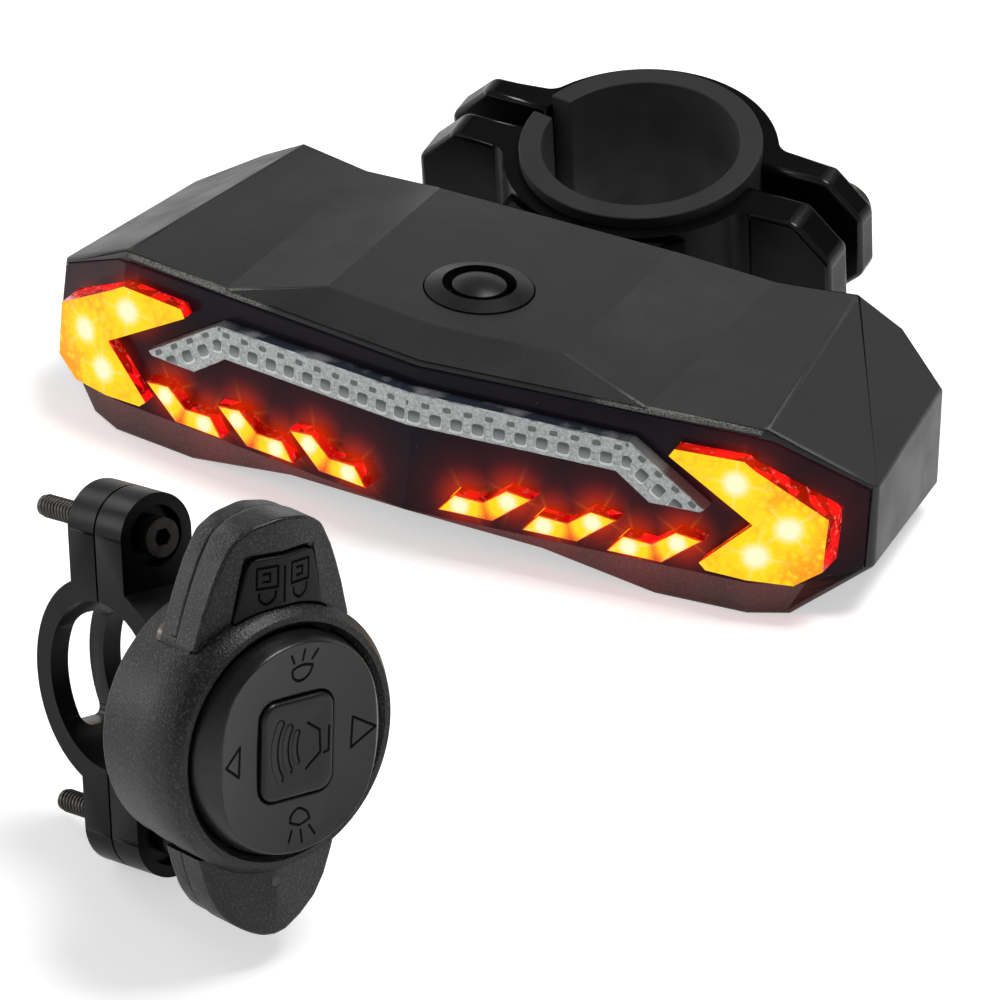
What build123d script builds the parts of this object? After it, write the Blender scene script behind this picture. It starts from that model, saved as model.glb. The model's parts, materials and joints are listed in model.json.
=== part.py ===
from build123d import *
import math
import os

os.makedirs("parts", exist_ok=True)

# A rear turn signal lamp that clamps to a seat post, and the remote that goes with it.
# The origin is at mid length of the seat post bore. X is to the right, the lamp faces -Y, Z is up.
# The lamp and the remote stand on one level floor, the remote in front of the lamp.

# Fits and cuts shared by all pieces
press_gap = 0.05
slide_gap = 0.1
case_gap = 0.15
overrun = 2.0
blank = 100.0

# Seat post clamp, along its own bore
post_lean = 12.16
post_radius = 15.45
liner_wall = 3.55
liner_height = 26.4
liner_slot = 4.5
liner_slot_angle = 170.0
band_gap = 0.1
band_wall = 2.4
band_height = 22.6
ear_end = 35.5
ear_corner = 6.0
ear_fillet = 3.0
front_ear_face = -0.9
front_ear_wall = 6.5
clamp_split = 5.1
rear_ear_wall = 4.8
clamp_bolt_x = 28.5
clamp_bolt_radius = 2.5
clamp_bolt_tip_wall = 1.1
clamp_head_radius = 4.25
clamp_head_height = 5.0
clamp_key_radius = 2.2
clamp_key_depth = 2.6
clamp_insert_radius = 3.5
clamp_travel = 5.0

# Neck bracket between the clamp and the lamp
saddle_gap = 0.1
saddle_wall = 2.5
saddle_half_width = 15.0
saddle_top_drop = 1.5
neck_half_width = 13.0
neck_over_screw = 1.1
neck_under_deck = 24.0
foot_half_width = 17.0
foot_wall = 3.0
foot_margin = 2.0
bracket_screw_x = 9.5
bracket_screw_radius = 1.7
bracket_screw_head_radius = 3.1
bracket_screw_head_height = 1.4
bracket_screw_bite = 5.0
bracket_screw_high = -6.6
bracket_screw_low = -23.2

# Lamp housing outline, seen from the front: half, from the deck level
deck_drop = 0.4
deck_half_width = 19.7
valley_x = 34.9
valley_z = -3.25
shoulder_x = 50.4
shoulder_z = -2.9
arch_crown_z = -28.2
arch_hip_x = 21.0
arch_hip_z = -29.6
foot_inner_x = 38.8
foot_outer_x = 58.5
foot_z = -32.9
keel_x = 68.8
keel_z = -24.9
# Lamp housing outline, seen from above: half, from the post axis
front_y = -76.77
front_mid_z = -16.1
front_sweep = 7.3
front_lean = 3.7
crease_x = 53.0
wing_sweep = 30.0
end_x = 68.2
end_y = -59.8
end_z = -11.9
end_taper = 7.3
end_lean = 2.0
heel_x = 54.5
heel_y = -21.2
heel_turn = 58.6
recess_outer_x = 47.8
recess_outer_y = -22.2
recess_inner_x = 33.9
recess_inner_y = -25.0
recess_x = 19.8
recess_y = -29.5
# Sloping facets of the top
shoulder_front_x = 52.9
shoulder_front_y = -69.0
shoulder_front_z = -2.5
end_slope_heading = 7.9
end_slope_rise = 60.2
brow_y = -69.8
brow_rise = 58.1
housing_wall = 2.0
housing_front_wall = 3.2
housing_hollow_floor = -22.0

# Front plate and its lenses
plate_proud = 0.6
plate_wall = 2.2
plate_gap = 0.12
plate_seat = 0.9
plate_top_z = -4.3
plate_bottom_z = -27.4
plate_shoulder_x = 52.0
plate_brow_x = 54.4
plate_brow_z = -4.9
plate_tip_x = 67.2
plate_tip_z = -12.2
plate_toe_x = 67.6
plate_toe_z = -24.7
plate_foot_x = 60.0
lens_proud = 2.3
lens_flange = 0.4
lens_flange_wall = 0.9
lens_wing_sweep = 20.0
strip_half_outline = [
    (0, -7.1), (34.2, -7.7), (46.4, -15.9), (45.7, -16.5), (37.9, -16.6), (32.5, -12.7), (0, -12.4),
]
arrow_outline = [
    (40.2, -8.5), (41.0, -7.2), (51.6, -6.9), (64.1, -14.7), (64.0, -23.2),
    (60.2, -25.9), (47.4, -25.5), (46.3, -24.5), (53.8, -16.7),
]
tick_outline = [(6.0, -25.0), (14.5, -25.0), (20.3, -20.2), (16.2, -19.6), (12.8, -22.3), (8.3, -22.0)]
tick_pitch = 13.1
tick_drop = 0.4
tick_count = 3

# Light boards behind the lenses
reflector_inset = 3.3
reflector_wall = 3.4
reflector_margin = 1.1
reflector_window_gap = 0.1
board_wall = 1.6
board_end_x = 58.5
board_middle_x = 1.6
board_edge_margin = 1.0
board_screw_radius = 1.0
board_screw_head_radius = 1.9
board_screw_head_height = 1.2
board_screw_bite = 2.4
board_screw_spots = [(5.0, -16.2), (27.5, -16.2), (48.4, -18.8)]
led_side = 1.6
led_height = 0.8
arrow_led_spots = [(50.5, -11.0), (55.2, -17.0), (52.5, -22.0)]
tick_led_offsets = [(10.6, -23.6), (16.3, -21.4)]
strip_led_count = 8
strip_led_first_x = 3.0
strip_led_pitch = 4.3
strip_led_z = -10.0

# Bottom cover
cover_wall = 2.0
cover_screw_x = 49.5
cover_screw_front_y = -56.0
cover_screw_rear_y = -28.8
cover_screw_radius = 1.5
cover_screw_head_radius = 2.8
cover_screw_head_height = 1.9
cover_screw_bite = 9.0
cover_pad_radius = 4.5
cover_pad_height = 2.2
cover_boss_radius = 3.4
seal_depth = 0.8
seal_low = 0.6
seal_high = 1.4
sound_hole_radius = 0.8
sound_hole_ring = 4.0
sound_hole_count = 6

# Battery, control board, sounder
cell_radius = 9.15
cell_length = 49.0
cell_y = -42.5
cell_z = -15.7
cell_tip_radius = 3.0
cell_tip_height = 0.8
cradle_end_room = 3.5
cradle_half_width = 8.0
cradle_top_z = -19.0
cradle_end_wall = 1.8
control_board_half_width = 30.0
control_board_front_y = -63.5
control_board_rear_y = -52.3
control_board_top_z = -9.0
control_board_post_radius = 2.2
control_board_post_x = 26.0
control_board_post_y = -59.0
sounder_radius = 8.5
sounder_height = 5.5
sounder_x = -49.5
sounder_y = -42.5

# Power button on the deck
button_y = -55.85
button_hole_radius = 8.46
bezel_radius = 8.2
bezel_rim_rise = 0.2
bezel_inner_radius = 5.6
bezel_inner_rise = 1.0
bezel_lip_radius = 4.4
bezel_lip_low = -3.4
bezel_lip_high = -2.3
bezel_flange_radius = 9.8
cap_radius = 4.1
cap_edge_rise = 0.7
cap_crown_rise = 1.7
cap_flange_radius = 5.2
cap_flange_gap = 0.3
cap_flange_wall = 0.9
cap_stem_radius = 1.5
button_travel = 0.8
switch_half_side = 3.0
switch_body_height = 1.2
switch_plunger_radius = 1.6
switch_top_z = -7.0

# Charging port in the right rear wall
port_x = 39.5
port_z = -15.0
port_half_width = 4.9
port_half_height = 2.0
socket_half_width = 4.5
socket_half_height = 1.6
socket_depth = 7.0
socket_wall = 0.4
plug_half_width = 7.5
plug_half_height = 4.2
plug_wall = 1.3
plug_pocket = 0.7
plug_tongue_half_height = 1.1
plug_tongue_end = -1.9
plug_barrel_radius = 1.0
plug_barrel_rise = 1.15
plug_barrel_y = 5.85
plug_barrel_half_width = 5.4
plug_pin_radius = 0.55
plug_pin_half_width = 7.0
plug_lug_margin = 0.7
plug_turn = 100.0
charging_board_half_width = 5.0
charging_board_wall = 1.2
charging_board_depth = 10.0

# Remote: where it stands and how it leans
remote_x = 35.23
remote_y = -188.15
remote_heading = -23.6
remote_lean = 8.7
remote_roll = -5.7

# Remote housing, in its own frame: X along the handlebar, Y up the dial, Z out of the dial
rim_radius = 19.0
rim_bevel_z = -0.2
ridge_outer_radius = 17.7
ridge_inner_radius = 16.8
ridge_z = 1.7
well_radius = 16.1
well_lip_z = 1.0
well_floor_z = -2.2
well_floor_wall = 0.8
front_parting_z = -6.2
tab_crease_drop_share = 0.15
upper_tab_outline = [
    (13.1, 14.5), (11.7, 19.4), (10.6, 22.5), (9.5, 25.2), (7.45, 28.9), (4.5, 30.5), (0, 31.3),
]
lower_tab_outline = [
    (11.7, -15.5), (10.8, -18.6), (9.45, -22.1), (7.6, -24.8), (4.9, -26.8), (2.0, -28.2), (0, -28.3),
]
shell_wall = 1.5
rear_radius = 18.8
rear_tab_z = -9.7
rear_z = -10.5
rear_floor_wall = 1.5
can_radius = 18.5
can_z = -15.3
can_wall = 1.6
can_floor_wall = 1.2
ring_seal_inner_radius = 17.3
ring_seal_outer_radius = 17.9
ring_seal_height = 0.5
case_screw_spots = [(8.0, -15.8), (-8.0, -15.8), (11.0, 14.2), (-11.0, 14.2)]
case_screw_radius = 1.0
case_screw_head_radius = 1.9
case_screw_head_height = 1.0
case_boss_radius = 2.0
light_pipe_radius = 0.75
light_pipe_y = -20.6

# Remote rocker, horn button and lamp key
rocker_radius = 15.6
rocker_edge_z = 1.2
rocker_skirt_z = -0.5
rocker_crest_radius = 11.5
rocker_crest_z = 4.4
rocker_dish_z = 3.3
rocker_wall = 1.5
rocker_nub_radius = 1.3
rocker_nub_place = 12.6
rocker_nub_z = -0.85
rocker_tilt = 3.0
horn_half_width = 6.05
horn_half_height = 7.0
horn_corner = 1.8
horn_gap = 0.3
horn_top_z = 3.6
horn_under_z = 1.6
horn_stem_radius = 2.2
horn_stem_z = -0.85
horn_travel = 0.6
pivot_z = -0.6
gimbal_inner_radius = 8.3
gimbal_outer_radius = 9.4
gimbal_height = 1.8
gimbal_pin_radius = 0.6
gimbal_pin_end = 11.0
lug_inner = 9.9
lug_outer = 11.2
lug_half_width = 1.4
lug_below = 0.9
key_top_y = 26.1
key_top_half_width = 5.3
key_low_y = 18.2
key_low_half_width = 7.4
key_arc_radius = 18.9
key_gap = 0.2
key_top_z = 0.5
key_flange = 0.6
key_flange_z = -3.1
key_flange_wall = 0.7
key_switch_y = 22.0
key_travel = 0.5

# Remote circuit board and cell
remote_board_radius = 16.8
remote_board_top_z = -5.0
remote_board_wall = 1.0
remote_board_tongue_half_width = 5.0
remote_board_tongue_y = 26.0
tact_body_radius = 2.6
tact_body_height = 1.8
tact_plunger_radius = 1.4
tact_plunger_hole = 1.8
tact_top_z = -1.6
dome_radius = 2.4
coin_radius = 10.0
coin_height = 3.2
coin_gap = 0.05
contact_half_length = 8.0
contact_half_width = 2.5

# Handlebar clamp of the remote, along its own bore
bar_radius = 11.9
bar_band_radius = 15.1
bar_band_half_width = 6.0
bar_y = -0.9
bar_z = -31.2
bar_turn = -6.3
bar_split = 0.4
bar_ear_wall = 6.0
bar_bolt_place = 21.1
bar_screw_radius = 1.5
bar_screw_head_radius = 2.75
bar_screw_head_height = 3.0
bar_head_well_radius = 4.3
bar_head_well_depth = 1.6
bar_key_radius = 1.35
bar_key_depth = 1.6
bar_screw_tips = [19.2, 18.5]
bar_insert_radius = 2.4
bar_insert_height = 4.5
bar_window_half_width = 3.0
bar_window_half_height = 8.0
bar_travel = 6.0
plinth_radius = 15.0
plinth_wall = 3.2
pedestal_top_half_height = 10.5
pedestal_waist_z = -22.4
pedestal_low_half_height = 14.7
pedestal_low_z = -29.2
can_screw_place = 13.0
can_screw_radius = 1.0
can_screw_head_radius = 1.9
can_screw_head_height = 0.9
can_screw_bite = 2.6

# Values that follow from the sizes above
lean_sin = math.sin(math.radians(post_lean))
lean_cos = math.cos(math.radians(post_lean))
liner_radius = post_radius + liner_wall
band_inner = liner_radius + band_gap
band_outer = band_inner + band_wall
rear_ear_face = front_ear_face + clamp_split
saddle_inner = band_outer + saddle_gap
saddle_outer = saddle_inner + saddle_wall
post_frame = Location((0, 0, 0), (post_lean, 0, 0))
lamp_frame = Location((0, -liner_height / 2 * lean_sin, liner_height / 2 * lean_cos - deck_drop))
floor_z = lamp_frame.position.Z + foot_z
neck_top = lamp_frame.position.Z + bracket_screw_high + neck_over_screw
neck_bottom = lamp_frame.position.Z - neck_under_deck
cradle_half_length = cell_length / 2 + cradle_end_room
base_align = (Align.CENTER, Align.CENTER, Align.MIN)


def rod(radius, low, high, x=0, y=0):
    return Pos(x, y, low) * Cylinder(radius, high - low, align=base_align)


def pipe(outer, inner, low, high):
    return rod(outer, low, high) - rod(inner, low - overrun, high + overrun)


def block(low, high):
    size = [b - a for a, b in zip(low, high)]
    return Pos(*low) * Box(*size, align=(Align.MIN, Align.MIN, Align.MIN))


def mirror_points(half):
    return half + [(-x, y) for x, y in reversed(half) if x != 0]


def slab(outline, low, high):
    # Outline in X and Y, raised from low to high
    return Pos(0, 0, low) * extrude(Polygon(*outline, align=None), amount=high - low, dir=(0, 0, 1))


def side_normal(start, end, turn):
    run = math.hypot(end[0] - start[0], end[1] - start[1])
    return (turn * (end[1] - start[1]) / run, -turn * (end[0] - start[0]) / run)


def grown(outline, amount):
    # The outline with every side moved outward by the amount, or inward where it is negative
    following = outline[1:] + outline[:1]
    area = sum(a[0] * b[1] - b[0] * a[1] for a, b in zip(outline, following))
    turn = math.copysign(1, area)
    moved = []
    for before, here, after in zip(outline[-1:] + outline[:-1], outline, following):
        first = side_normal(before, here, turn)
        second = side_normal(here, after, turn)
        share = amount / (1 + first[0] * second[0] + first[1] * second[1])
        moved.append((here[0] + (first[0] + second[0]) * share, here[1] + (first[1] + second[1]) * share))
    return moved


def front_prism(outline, grow=0):
    # Outline in X and Z, run along Y through the whole lamp
    sketch = Plane.XZ * Polygon(*grown(outline, grow), align=None)
    return extrude(sketch, amount=blank, both=True)


def facet(point, heading, rise):
    # A plane through the point that faces the heading, from +X, and the rise above level
    turn = math.radians(heading)
    lift = math.radians(rise)
    facing = (math.cos(turn) * math.cos(lift), math.sin(turn) * math.cos(lift), math.sin(lift))
    return Plane(origin=point, z_dir=facing)


def shave(body, plane, inset=0):
    return split(body, bisect_by=plane.offset(-inset), keep=Keep.BOTTOM)


def shave_both(body, point, heading, rise, inset=0):
    x, y, z = point
    body = shave(body, facet((x, y, z), heading, rise), inset)
    return shave(body, facet((-x, y, z), 180 - heading, rise), inset)


def front_block(inset, sweep=wing_sweep):
    # All that lies behind the lamp's front, which is bent at the middle and at each crease
    body = Box(2 * blank, 2 * blank, 2 * blank)
    crease_y = front_y + crease_x * math.tan(math.radians(front_sweep))
    body = shave_both(body, (0, front_y, front_mid_z), front_sweep - 90, front_lean, inset)
    return shave_both(body, (crease_x, crease_y, front_mid_z), sweep - 90, front_lean, inset)


def front_slab(outer, inner):
    return front_block(outer) - front_block(inner)


def walls(front_inset, inset):
    # The lamp seen from above, as an upright block
    half = [
        (0, -blank), (blank, -blank), (blank, heel_y), (heel_x, heel_y), (recess_outer_x, recess_outer_y),
        (recess_inner_x, recess_inner_y), (recess_x, recess_y), (0, recess_y),
    ]
    plan = Polygon(*grown(mirror_points(half), -inset), align=None)
    body = extrude(plan, amount=blank, both=True) & front_block(front_inset)
    body = shave_both(body, (end_x, end_y, end_z), end_taper, end_lean, inset)
    return shave_both(body, (heel_x, heel_y, 0), heel_turn, 0, inset)


def layers(inset):
    # The lamp seen from the front, run along Y: the base with its sloping ends, and the ridge under the deck
    slope = (shoulder_z - valley_z) / (shoulder_x - valley_x)
    keel_slope = (keel_z - foot_z) / (keel_x - foot_outer_x)
    base_half = [
        (0, valley_z), (valley_x, valley_z), (blank, valley_z + slope * (blank - valley_x)),
        (blank, foot_z + keel_slope * (blank - foot_outer_x)), (foot_outer_x, foot_z), (foot_inner_x, foot_z),
        (arch_hip_x, arch_hip_z), (0, arch_crown_z),
    ]
    base = front_prism(mirror_points(base_half), -inset)
    shoulder = (shoulder_front_x, shoulder_front_y, shoulder_front_z)
    base = shave_both(base, shoulder, end_slope_heading, end_slope_rise, inset)
    flank_x = 2 * valley_x - deck_half_width
    ridge_half = [(0, 0), (deck_half_width, 0), (flank_x, 2 * valley_z), (flank_x, 4 * valley_z), (0, 4 * valley_z)]
    ridge = front_prism(mirror_points(ridge_half), -inset)
    ridge = shave_both(ridge, (0, brow_y, 0), front_sweep - 90, brow_rise, inset)
    return base + ridge


def below(level):
    return block((-blank, -blank, -blank), (blank, blank, level))


plate_half = [
    (0, plate_top_z), (plate_shoulder_x, plate_top_z), (plate_brow_x, plate_brow_z), (plate_tip_x, plate_tip_z),
    (plate_toe_x, plate_toe_z), (plate_foot_x, plate_bottom_z), (0, plate_bottom_z),
]
plate_outline = mirror_points(plate_half)
strip_outline = mirror_points(strip_half_outline)


def flipped(outline):
    return [(-x, z) for x, z in outline]


def tick_at(index, side):
    moved = [(x + index * tick_pitch, z - index * tick_drop) for x, z in tick_outline]
    return moved if side > 0 else flipped(moved)


def lens_outlines():
    outlines = {"brake_strip_lens": strip_outline}
    for side, name in ((1, "right"), (-1, "left")):
        outlines["arrow_lens_" + name] = arrow_outline if side > 0 else flipped(arrow_outline)
        for index in range(tick_count):
            outlines["tick_lens_" + name + "_" + str(index + 1)] = tick_at(index, side)
    return outlines


def cover_screw_spots():
    return [(side * cover_screw_x, y) for side in (1, -1) for y in (cover_screw_front_y, cover_screw_rear_y)]


def port_place():
    # The charging port's own frame: Z points out of the rear wall
    run_x = recess_outer_x - recess_inner_x
    run_y = recess_outer_y - recess_inner_y
    y = recess_inner_y + (port_x - recess_inner_x) * run_y / run_x
    return Plane(origin=(port_x, y, port_z), x_dir=(-run_x, -run_y, 0), z_dir=(-run_y, run_x, 0)).location


def bracket_screw_spots():
    return [(side * bracket_screw_x, z) for side in (1, -1) for z in (bracket_screw_high, bracket_screw_low)]


def along_y(shape, x, y, z):
    # A piece drawn along Z, laid along +Y
    return Pos(x, y, z) * Rot(-90, 0, 0) * shape


def upper_housing():
    body = walls(plate_proud, 0) & layers(0)
    hollow = walls(plate_proud + housing_front_wall, housing_wall)
    hollow = hollow & (layers(housing_wall) + below(housing_hollow_floor))
    body -= hollow
    boss_low = foot_z + cover_wall + cover_pad_height
    hung = [rod(cover_boss_radius, boss_low, 0, x, y) for x, y in cover_screw_spots()]
    for side in (1, -1):
        hung.append(rod(control_board_post_radius, control_board_top_z, 0, side * control_board_post_x,
                        control_board_post_y))
    for piece in hung:
        body += piece & layers(housing_wall / 2)
    body -= front_slab(-blank / 2, plate_wall + press_gap) & front_prism(plate_outline, plate_gap)
    window_depth = plate_proud + housing_front_wall + overrun
    body -= front_slab(0, window_depth) & front_prism(plate_outline, -plate_seat)
    body -= rod(button_hole_radius, -housing_wall - overrun, overrun, 0, button_y)
    for x, y in cover_screw_spots():
        bottom = foot_z + cover_wall
        hole_top = bottom + cover_pad_height + cover_screw_bite
        body -= rod(cover_screw_radius + press_gap, bottom, hole_top, x, y)
    for x, z in bracket_screw_spots():
        hole = rod(bracket_screw_radius + press_gap, -housing_wall - overrun, overrun)
        body -= along_y(hole, x, recess_y, z)
    port = block((-port_half_width, -port_half_height, -housing_wall - overrun),
                 (port_half_width, port_half_height, overrun))
    body -= port_place() * port
    pocket_half_width = plug_half_width + case_gap
    pocket_half_height = plug_half_height + case_gap
    pocket = block((-pocket_half_width, -pocket_half_height, -plug_pocket),
                   (pocket_half_width, pocket_half_height, overrun))
    body -= port_place() * pocket
    lug_low = plug_barrel_y - plug_barrel_radius
    lug_high = plug_barrel_y + plug_barrel_radius
    lug_top = plug_barrel_rise + plug_pin_radius + plug_lug_margin
    for side in (1, -1):
        inner = side * (plug_barrel_half_width + slide_gap)
        outer = side * (plug_pin_half_width + plug_lug_margin)
        lug = block((min(inner, outer), lug_low, -housing_wall / 2), (max(inner, outer), lug_high, lug_top))
        body += port_place() * lug
    return body - port_place() * plug_pin(slide_gap / 2)


def plug_pin(gap):
    # The pin of the rubber plug, or its hole where there is a gap
    length = 2 * (plug_pin_half_width + gap)
    pin = Rot(0, 90, 0) * Cylinder(plug_pin_radius + gap, length)
    return Pos(0, plug_barrel_y, plug_barrel_rise) * pin


def bottom_cover():
    inset = housing_wall + case_gap
    front_inset = plate_proud + housing_front_wall + case_gap
    skin = layers(0) - layers(cover_wall)
    body = walls(front_inset, inset) & below(housing_hollow_floor - overrun) & skin
    for x, y in cover_screw_spots():
        pad = rod(cover_pad_radius, foot_z, foot_z + cover_wall + cover_pad_height, x, y)
        body += pad & walls(front_inset, inset)
        body -= rod(cover_screw_radius + slide_gap, foot_z - overrun, foot_z + blank, x, y)
        head_well = cover_screw_head_height + slide_gap
        body -= rod(cover_screw_head_radius + slide_gap, foot_z - overrun, foot_z + head_well, x, y)
    for hole in PolarLocations(sound_hole_ring, sound_hole_count):
        spot = Pos(sounder_x, sounder_y) * hole
        body -= spot * rod(sound_hole_radius, foot_z - overrun, foot_z + cover_wall + overrun)
    return body - cover_groove(press_gap)


def cover_groove(gap):
    # The band round the cover's edge that holds its seal, larger all round by the gap
    inset = housing_wall + press_gap
    front_inset = plate_proud + housing_front_wall + press_gap
    deep = case_gap + seal_depth + gap
    ring = walls(front_inset - gap, inset - gap) - walls(front_inset + deep, inset + deep)
    return ring & below(housing_hollow_floor - overrun) & (layers(seal_low - gap) - layers(seal_high + gap))


def cover_screws():
    screws = []
    for x, y in cover_screw_spots():
        top = foot_z + cover_wall + cover_pad_height + cover_screw_bite - overrun
        screw = rod(cover_screw_radius, foot_z, top, x, y)
        screw += rod(cover_screw_head_radius, foot_z + slide_gap, foot_z + cover_screw_head_height, x, y)
        socket = rod(cover_screw_radius * 0.7, foot_z - overrun, foot_z + cover_screw_radius, x, y)
        screws.append(screw - socket)
    return screws


def front_plate():
    body = front_slab(0, plate_wall) & front_prism(plate_outline)
    for outline in lens_outlines().values():
        body -= front_prism(outline, slide_gap)
    return body


def lens(outline):
    face = front_block(-lens_proud, lens_wing_sweep) - front_block(plate_wall + press_gap + lens_flange_wall)
    flange = front_slab(plate_wall + press_gap, plate_wall + press_gap + lens_flange_wall)
    return (face & front_prism(outline)) + (flange & front_prism(outline, lens_flange))


def light_reflector():
    back = reflector_inset + reflector_wall
    body = front_block(reflector_inset) - front_block(back, front_sweep)
    body = body & front_prism(plate_outline, -reflector_margin) & layers(cover_wall + case_gap)
    for outline in lens_outlines().values():
        body -= front_prism(outline, reflector_window_gap)
    for side in (1, -1):
        for x, z in board_screw_spots:
            hole = rod(board_screw_radius + press_gap, -back - overrun, -back + board_screw_bite + slide_gap)
            body -= on_front(hole, x, z, side)
    return body


def on_front(shape, x, z, side=1):
    # Puts a shape, drawn with Z out of the front, at a place on the right half of the front, or on the left
    turn = math.radians(front_sweep)
    along = (math.cos(turn), math.sin(turn), 0)
    outward = facet((0, 0, 0), front_sweep - 90, front_lean).z_dir
    face = Plane(origin=(0, front_y, front_mid_z), x_dir=along, z_dir=outward)
    placed = face.location * Pos(x / math.cos(turn), z - front_mid_z, 0) * shape
    return placed if side > 0 else mirror(placed, about=Plane.YZ)


def led_board(side):
    front = -(reflector_inset + reflector_wall + press_gap)
    slab_box = block((board_middle_x, -blank, front - board_wall), (board_end_x, blank, front))
    board = on_front(slab_box, 0, front_mid_z)
    board = board & layers(housing_wall + board_edge_margin)
    for x, z in board_screw_spots:
        hole = rod(board_screw_radius + slide_gap, front - board_wall - overrun, front + overrun)
        board -= on_front(hole, x, z)
    return board if side > 0 else mirror(board, about=Plane.YZ)


def board_screws():
    back = -(reflector_inset + reflector_wall + press_gap + board_wall)
    tip = -(reflector_inset + reflector_wall) + board_screw_bite
    screw = rod(board_screw_radius, back, tip)
    screw += rod(board_screw_head_radius, back - press_gap - board_screw_head_height, back - press_gap)
    return [on_front(screw, x, z, side) for side in (1, -1) for x, z in board_screw_spots]


def led_chip():
    front = -(reflector_inset + reflector_wall + press_gap)
    body = Pos(0, 0, front + led_height / 2) * Box(led_side, led_side, led_height)
    return chamfer(body.faces().sort_by(Axis.Z)[-1].edges(), led_height / 3)


def signal_leds():
    spots = list(arrow_led_spots)
    for index in range(tick_count):
        spots += [(x + index * tick_pitch, z - index * tick_drop) for x, z in tick_led_offsets]
    return [on_front(led_chip(), x, z, side) for side in (1, -1) for x, z in spots]


def brake_leds():
    spots = [strip_led_first_x + index * strip_led_pitch for index in range(strip_led_count)]
    return [on_front(led_chip(), x, strip_led_z, side) for side in (1, -1) for x in spots]


def battery_cell():
    cell = Rot(0, 90, 0) * Cylinder(cell_radius, cell_length)
    tip = Rot(0, 90, 0) * Cylinder(cell_tip_radius, cell_tip_height + overrun)
    return Pos(0, cell_y, cell_z) * (cell + Pos(cell_length / 2 + (cell_tip_height - overrun) / 2) * tip)


def battery_cradle():
    low = (-cradle_half_length, cell_y - cradle_half_width, -blank)
    body = block(low, (cradle_half_length, cell_y + cradle_half_width, cradle_top_z))
    body = body & layers(cover_wall + press_gap)
    bed_length = 2 * (cradle_half_length - cradle_end_wall)
    bed = Rot(0, 90, 0) * Cylinder(cell_radius + slide_gap, bed_length)
    return body - Pos(0, cell_y, cell_z) * bed


def control_board():
    board = block((-control_board_half_width, control_board_front_y, control_board_top_z - board_wall),
                  (control_board_half_width, control_board_rear_y, control_board_top_z))
    for side in (1, -1):
        board -= rod(board_screw_radius, -blank, 0, side * control_board_post_x, control_board_post_y)
    return board


def sounder():
    low = foot_z + cover_wall + press_gap
    body = rod(sounder_radius, low, low + sounder_height, sounder_x, sounder_y)
    top = body.faces().sort_by(Axis.Z)[-1]
    body = fillet(top.edges(), press_gap * 10)
    return body - rod(sound_hole_radius * 2, low - overrun, low + sounder_height / 2, sounder_x, sounder_y)


def button_bezel():
    profile = [
        (bezel_inner_radius, bezel_inner_rise), (bezel_radius, bezel_rim_rise),
        (bezel_radius, -housing_wall - press_gap), (bezel_flange_radius, -housing_wall - press_gap),
        (bezel_flange_radius, bezel_lip_low), (bezel_lip_radius, bezel_lip_low),
        (bezel_lip_radius, bezel_lip_high), (bezel_inner_radius, bezel_lip_high),
    ]
    ring = revolve(Plane.XZ * Polygon(*profile, align=None), Axis.Z)
    return Pos(0, button_y) * ring


def power_button():
    crown = cap_crown_rise - cap_edge_rise
    dome_radius_large = (cap_radius ** 2 + crown ** 2) / (2 * crown)
    flange_top = bezel_lip_low - cap_flange_gap
    stem_low = switch_top_z + press_gap + button_travel
    cap = rod(cap_radius, flange_top - cap_flange_wall, cap_crown_rise)
    cap = cap & (Pos(0, 0, cap_crown_rise - dome_radius_large) * Sphere(dome_radius_large))
    cap += rod(cap_flange_radius, flange_top - cap_flange_wall, flange_top)
    cap += rod(cap_stem_radius, stem_low, flange_top)
    return Pos(0, button_y) * cap


def power_switch():
    low = control_board_top_z
    case = Box(2 * switch_half_side, 2 * switch_half_side, switch_body_height)
    body = Pos(0, 0, low + switch_body_height / 2) * case
    body += rod(switch_plunger_radius, low, switch_top_z)
    return Pos(0, button_y) * body


def charging_socket():
    back = -housing_wall - slide_gap - socket_depth
    shell = block((-socket_half_width, -socket_half_height, back),
                  (socket_half_width, socket_half_height, -housing_wall - slide_gap))
    shell = fillet(shell.edges().filter_by(Axis.Z), socket_half_height * 0.9)
    inner_width = socket_half_width - socket_wall
    inner_height = socket_half_height - socket_wall
    hollow = block((-inner_width, -inner_height, back + socket_wall), (inner_width, inner_height, 0))
    hollow = fillet(hollow.edges().filter_by(Axis.Z), inner_height * 0.9)
    tongue = block((-inner_width * 0.8, -socket_wall, back),
                   (inner_width * 0.8, socket_wall, -housing_wall - overrun))
    return port_place() * (shell - hollow + tongue)


def charging_board():
    top = -socket_half_height - press_gap
    back = -housing_wall - charging_board_depth
    board = block((-charging_board_half_width, top - charging_board_wall, back),
                  (charging_board_half_width, top, -housing_wall - press_gap))
    return port_place() * board


def port_plug():
    body = block((-plug_half_width, -plug_half_height, -plug_pocket + press_gap),
                 (plug_half_width, plug_half_height, plug_wall - plug_pocket))
    body = fillet(body.edges().filter_by(Axis.Z), plug_wall)
    tongue_half_width = port_half_width - case_gap
    body += block((-tongue_half_width, -plug_tongue_half_height, plug_tongue_end),
                  (tongue_half_width, plug_tongue_half_height, 0))
    strap_low = plug_barrel_rise - plug_barrel_radius
    body += block((-plug_barrel_half_width, plug_half_height - plug_wall, strap_low),
                  (plug_barrel_half_width, plug_barrel_y, plug_wall - plug_pocket))
    barrel = Rot(0, 90, 0) * Cylinder(plug_barrel_radius, 2 * plug_barrel_half_width)
    body += Pos(0, plug_barrel_y, plug_barrel_rise) * barrel
    return port_place() * (body + plug_pin(0))


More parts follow.
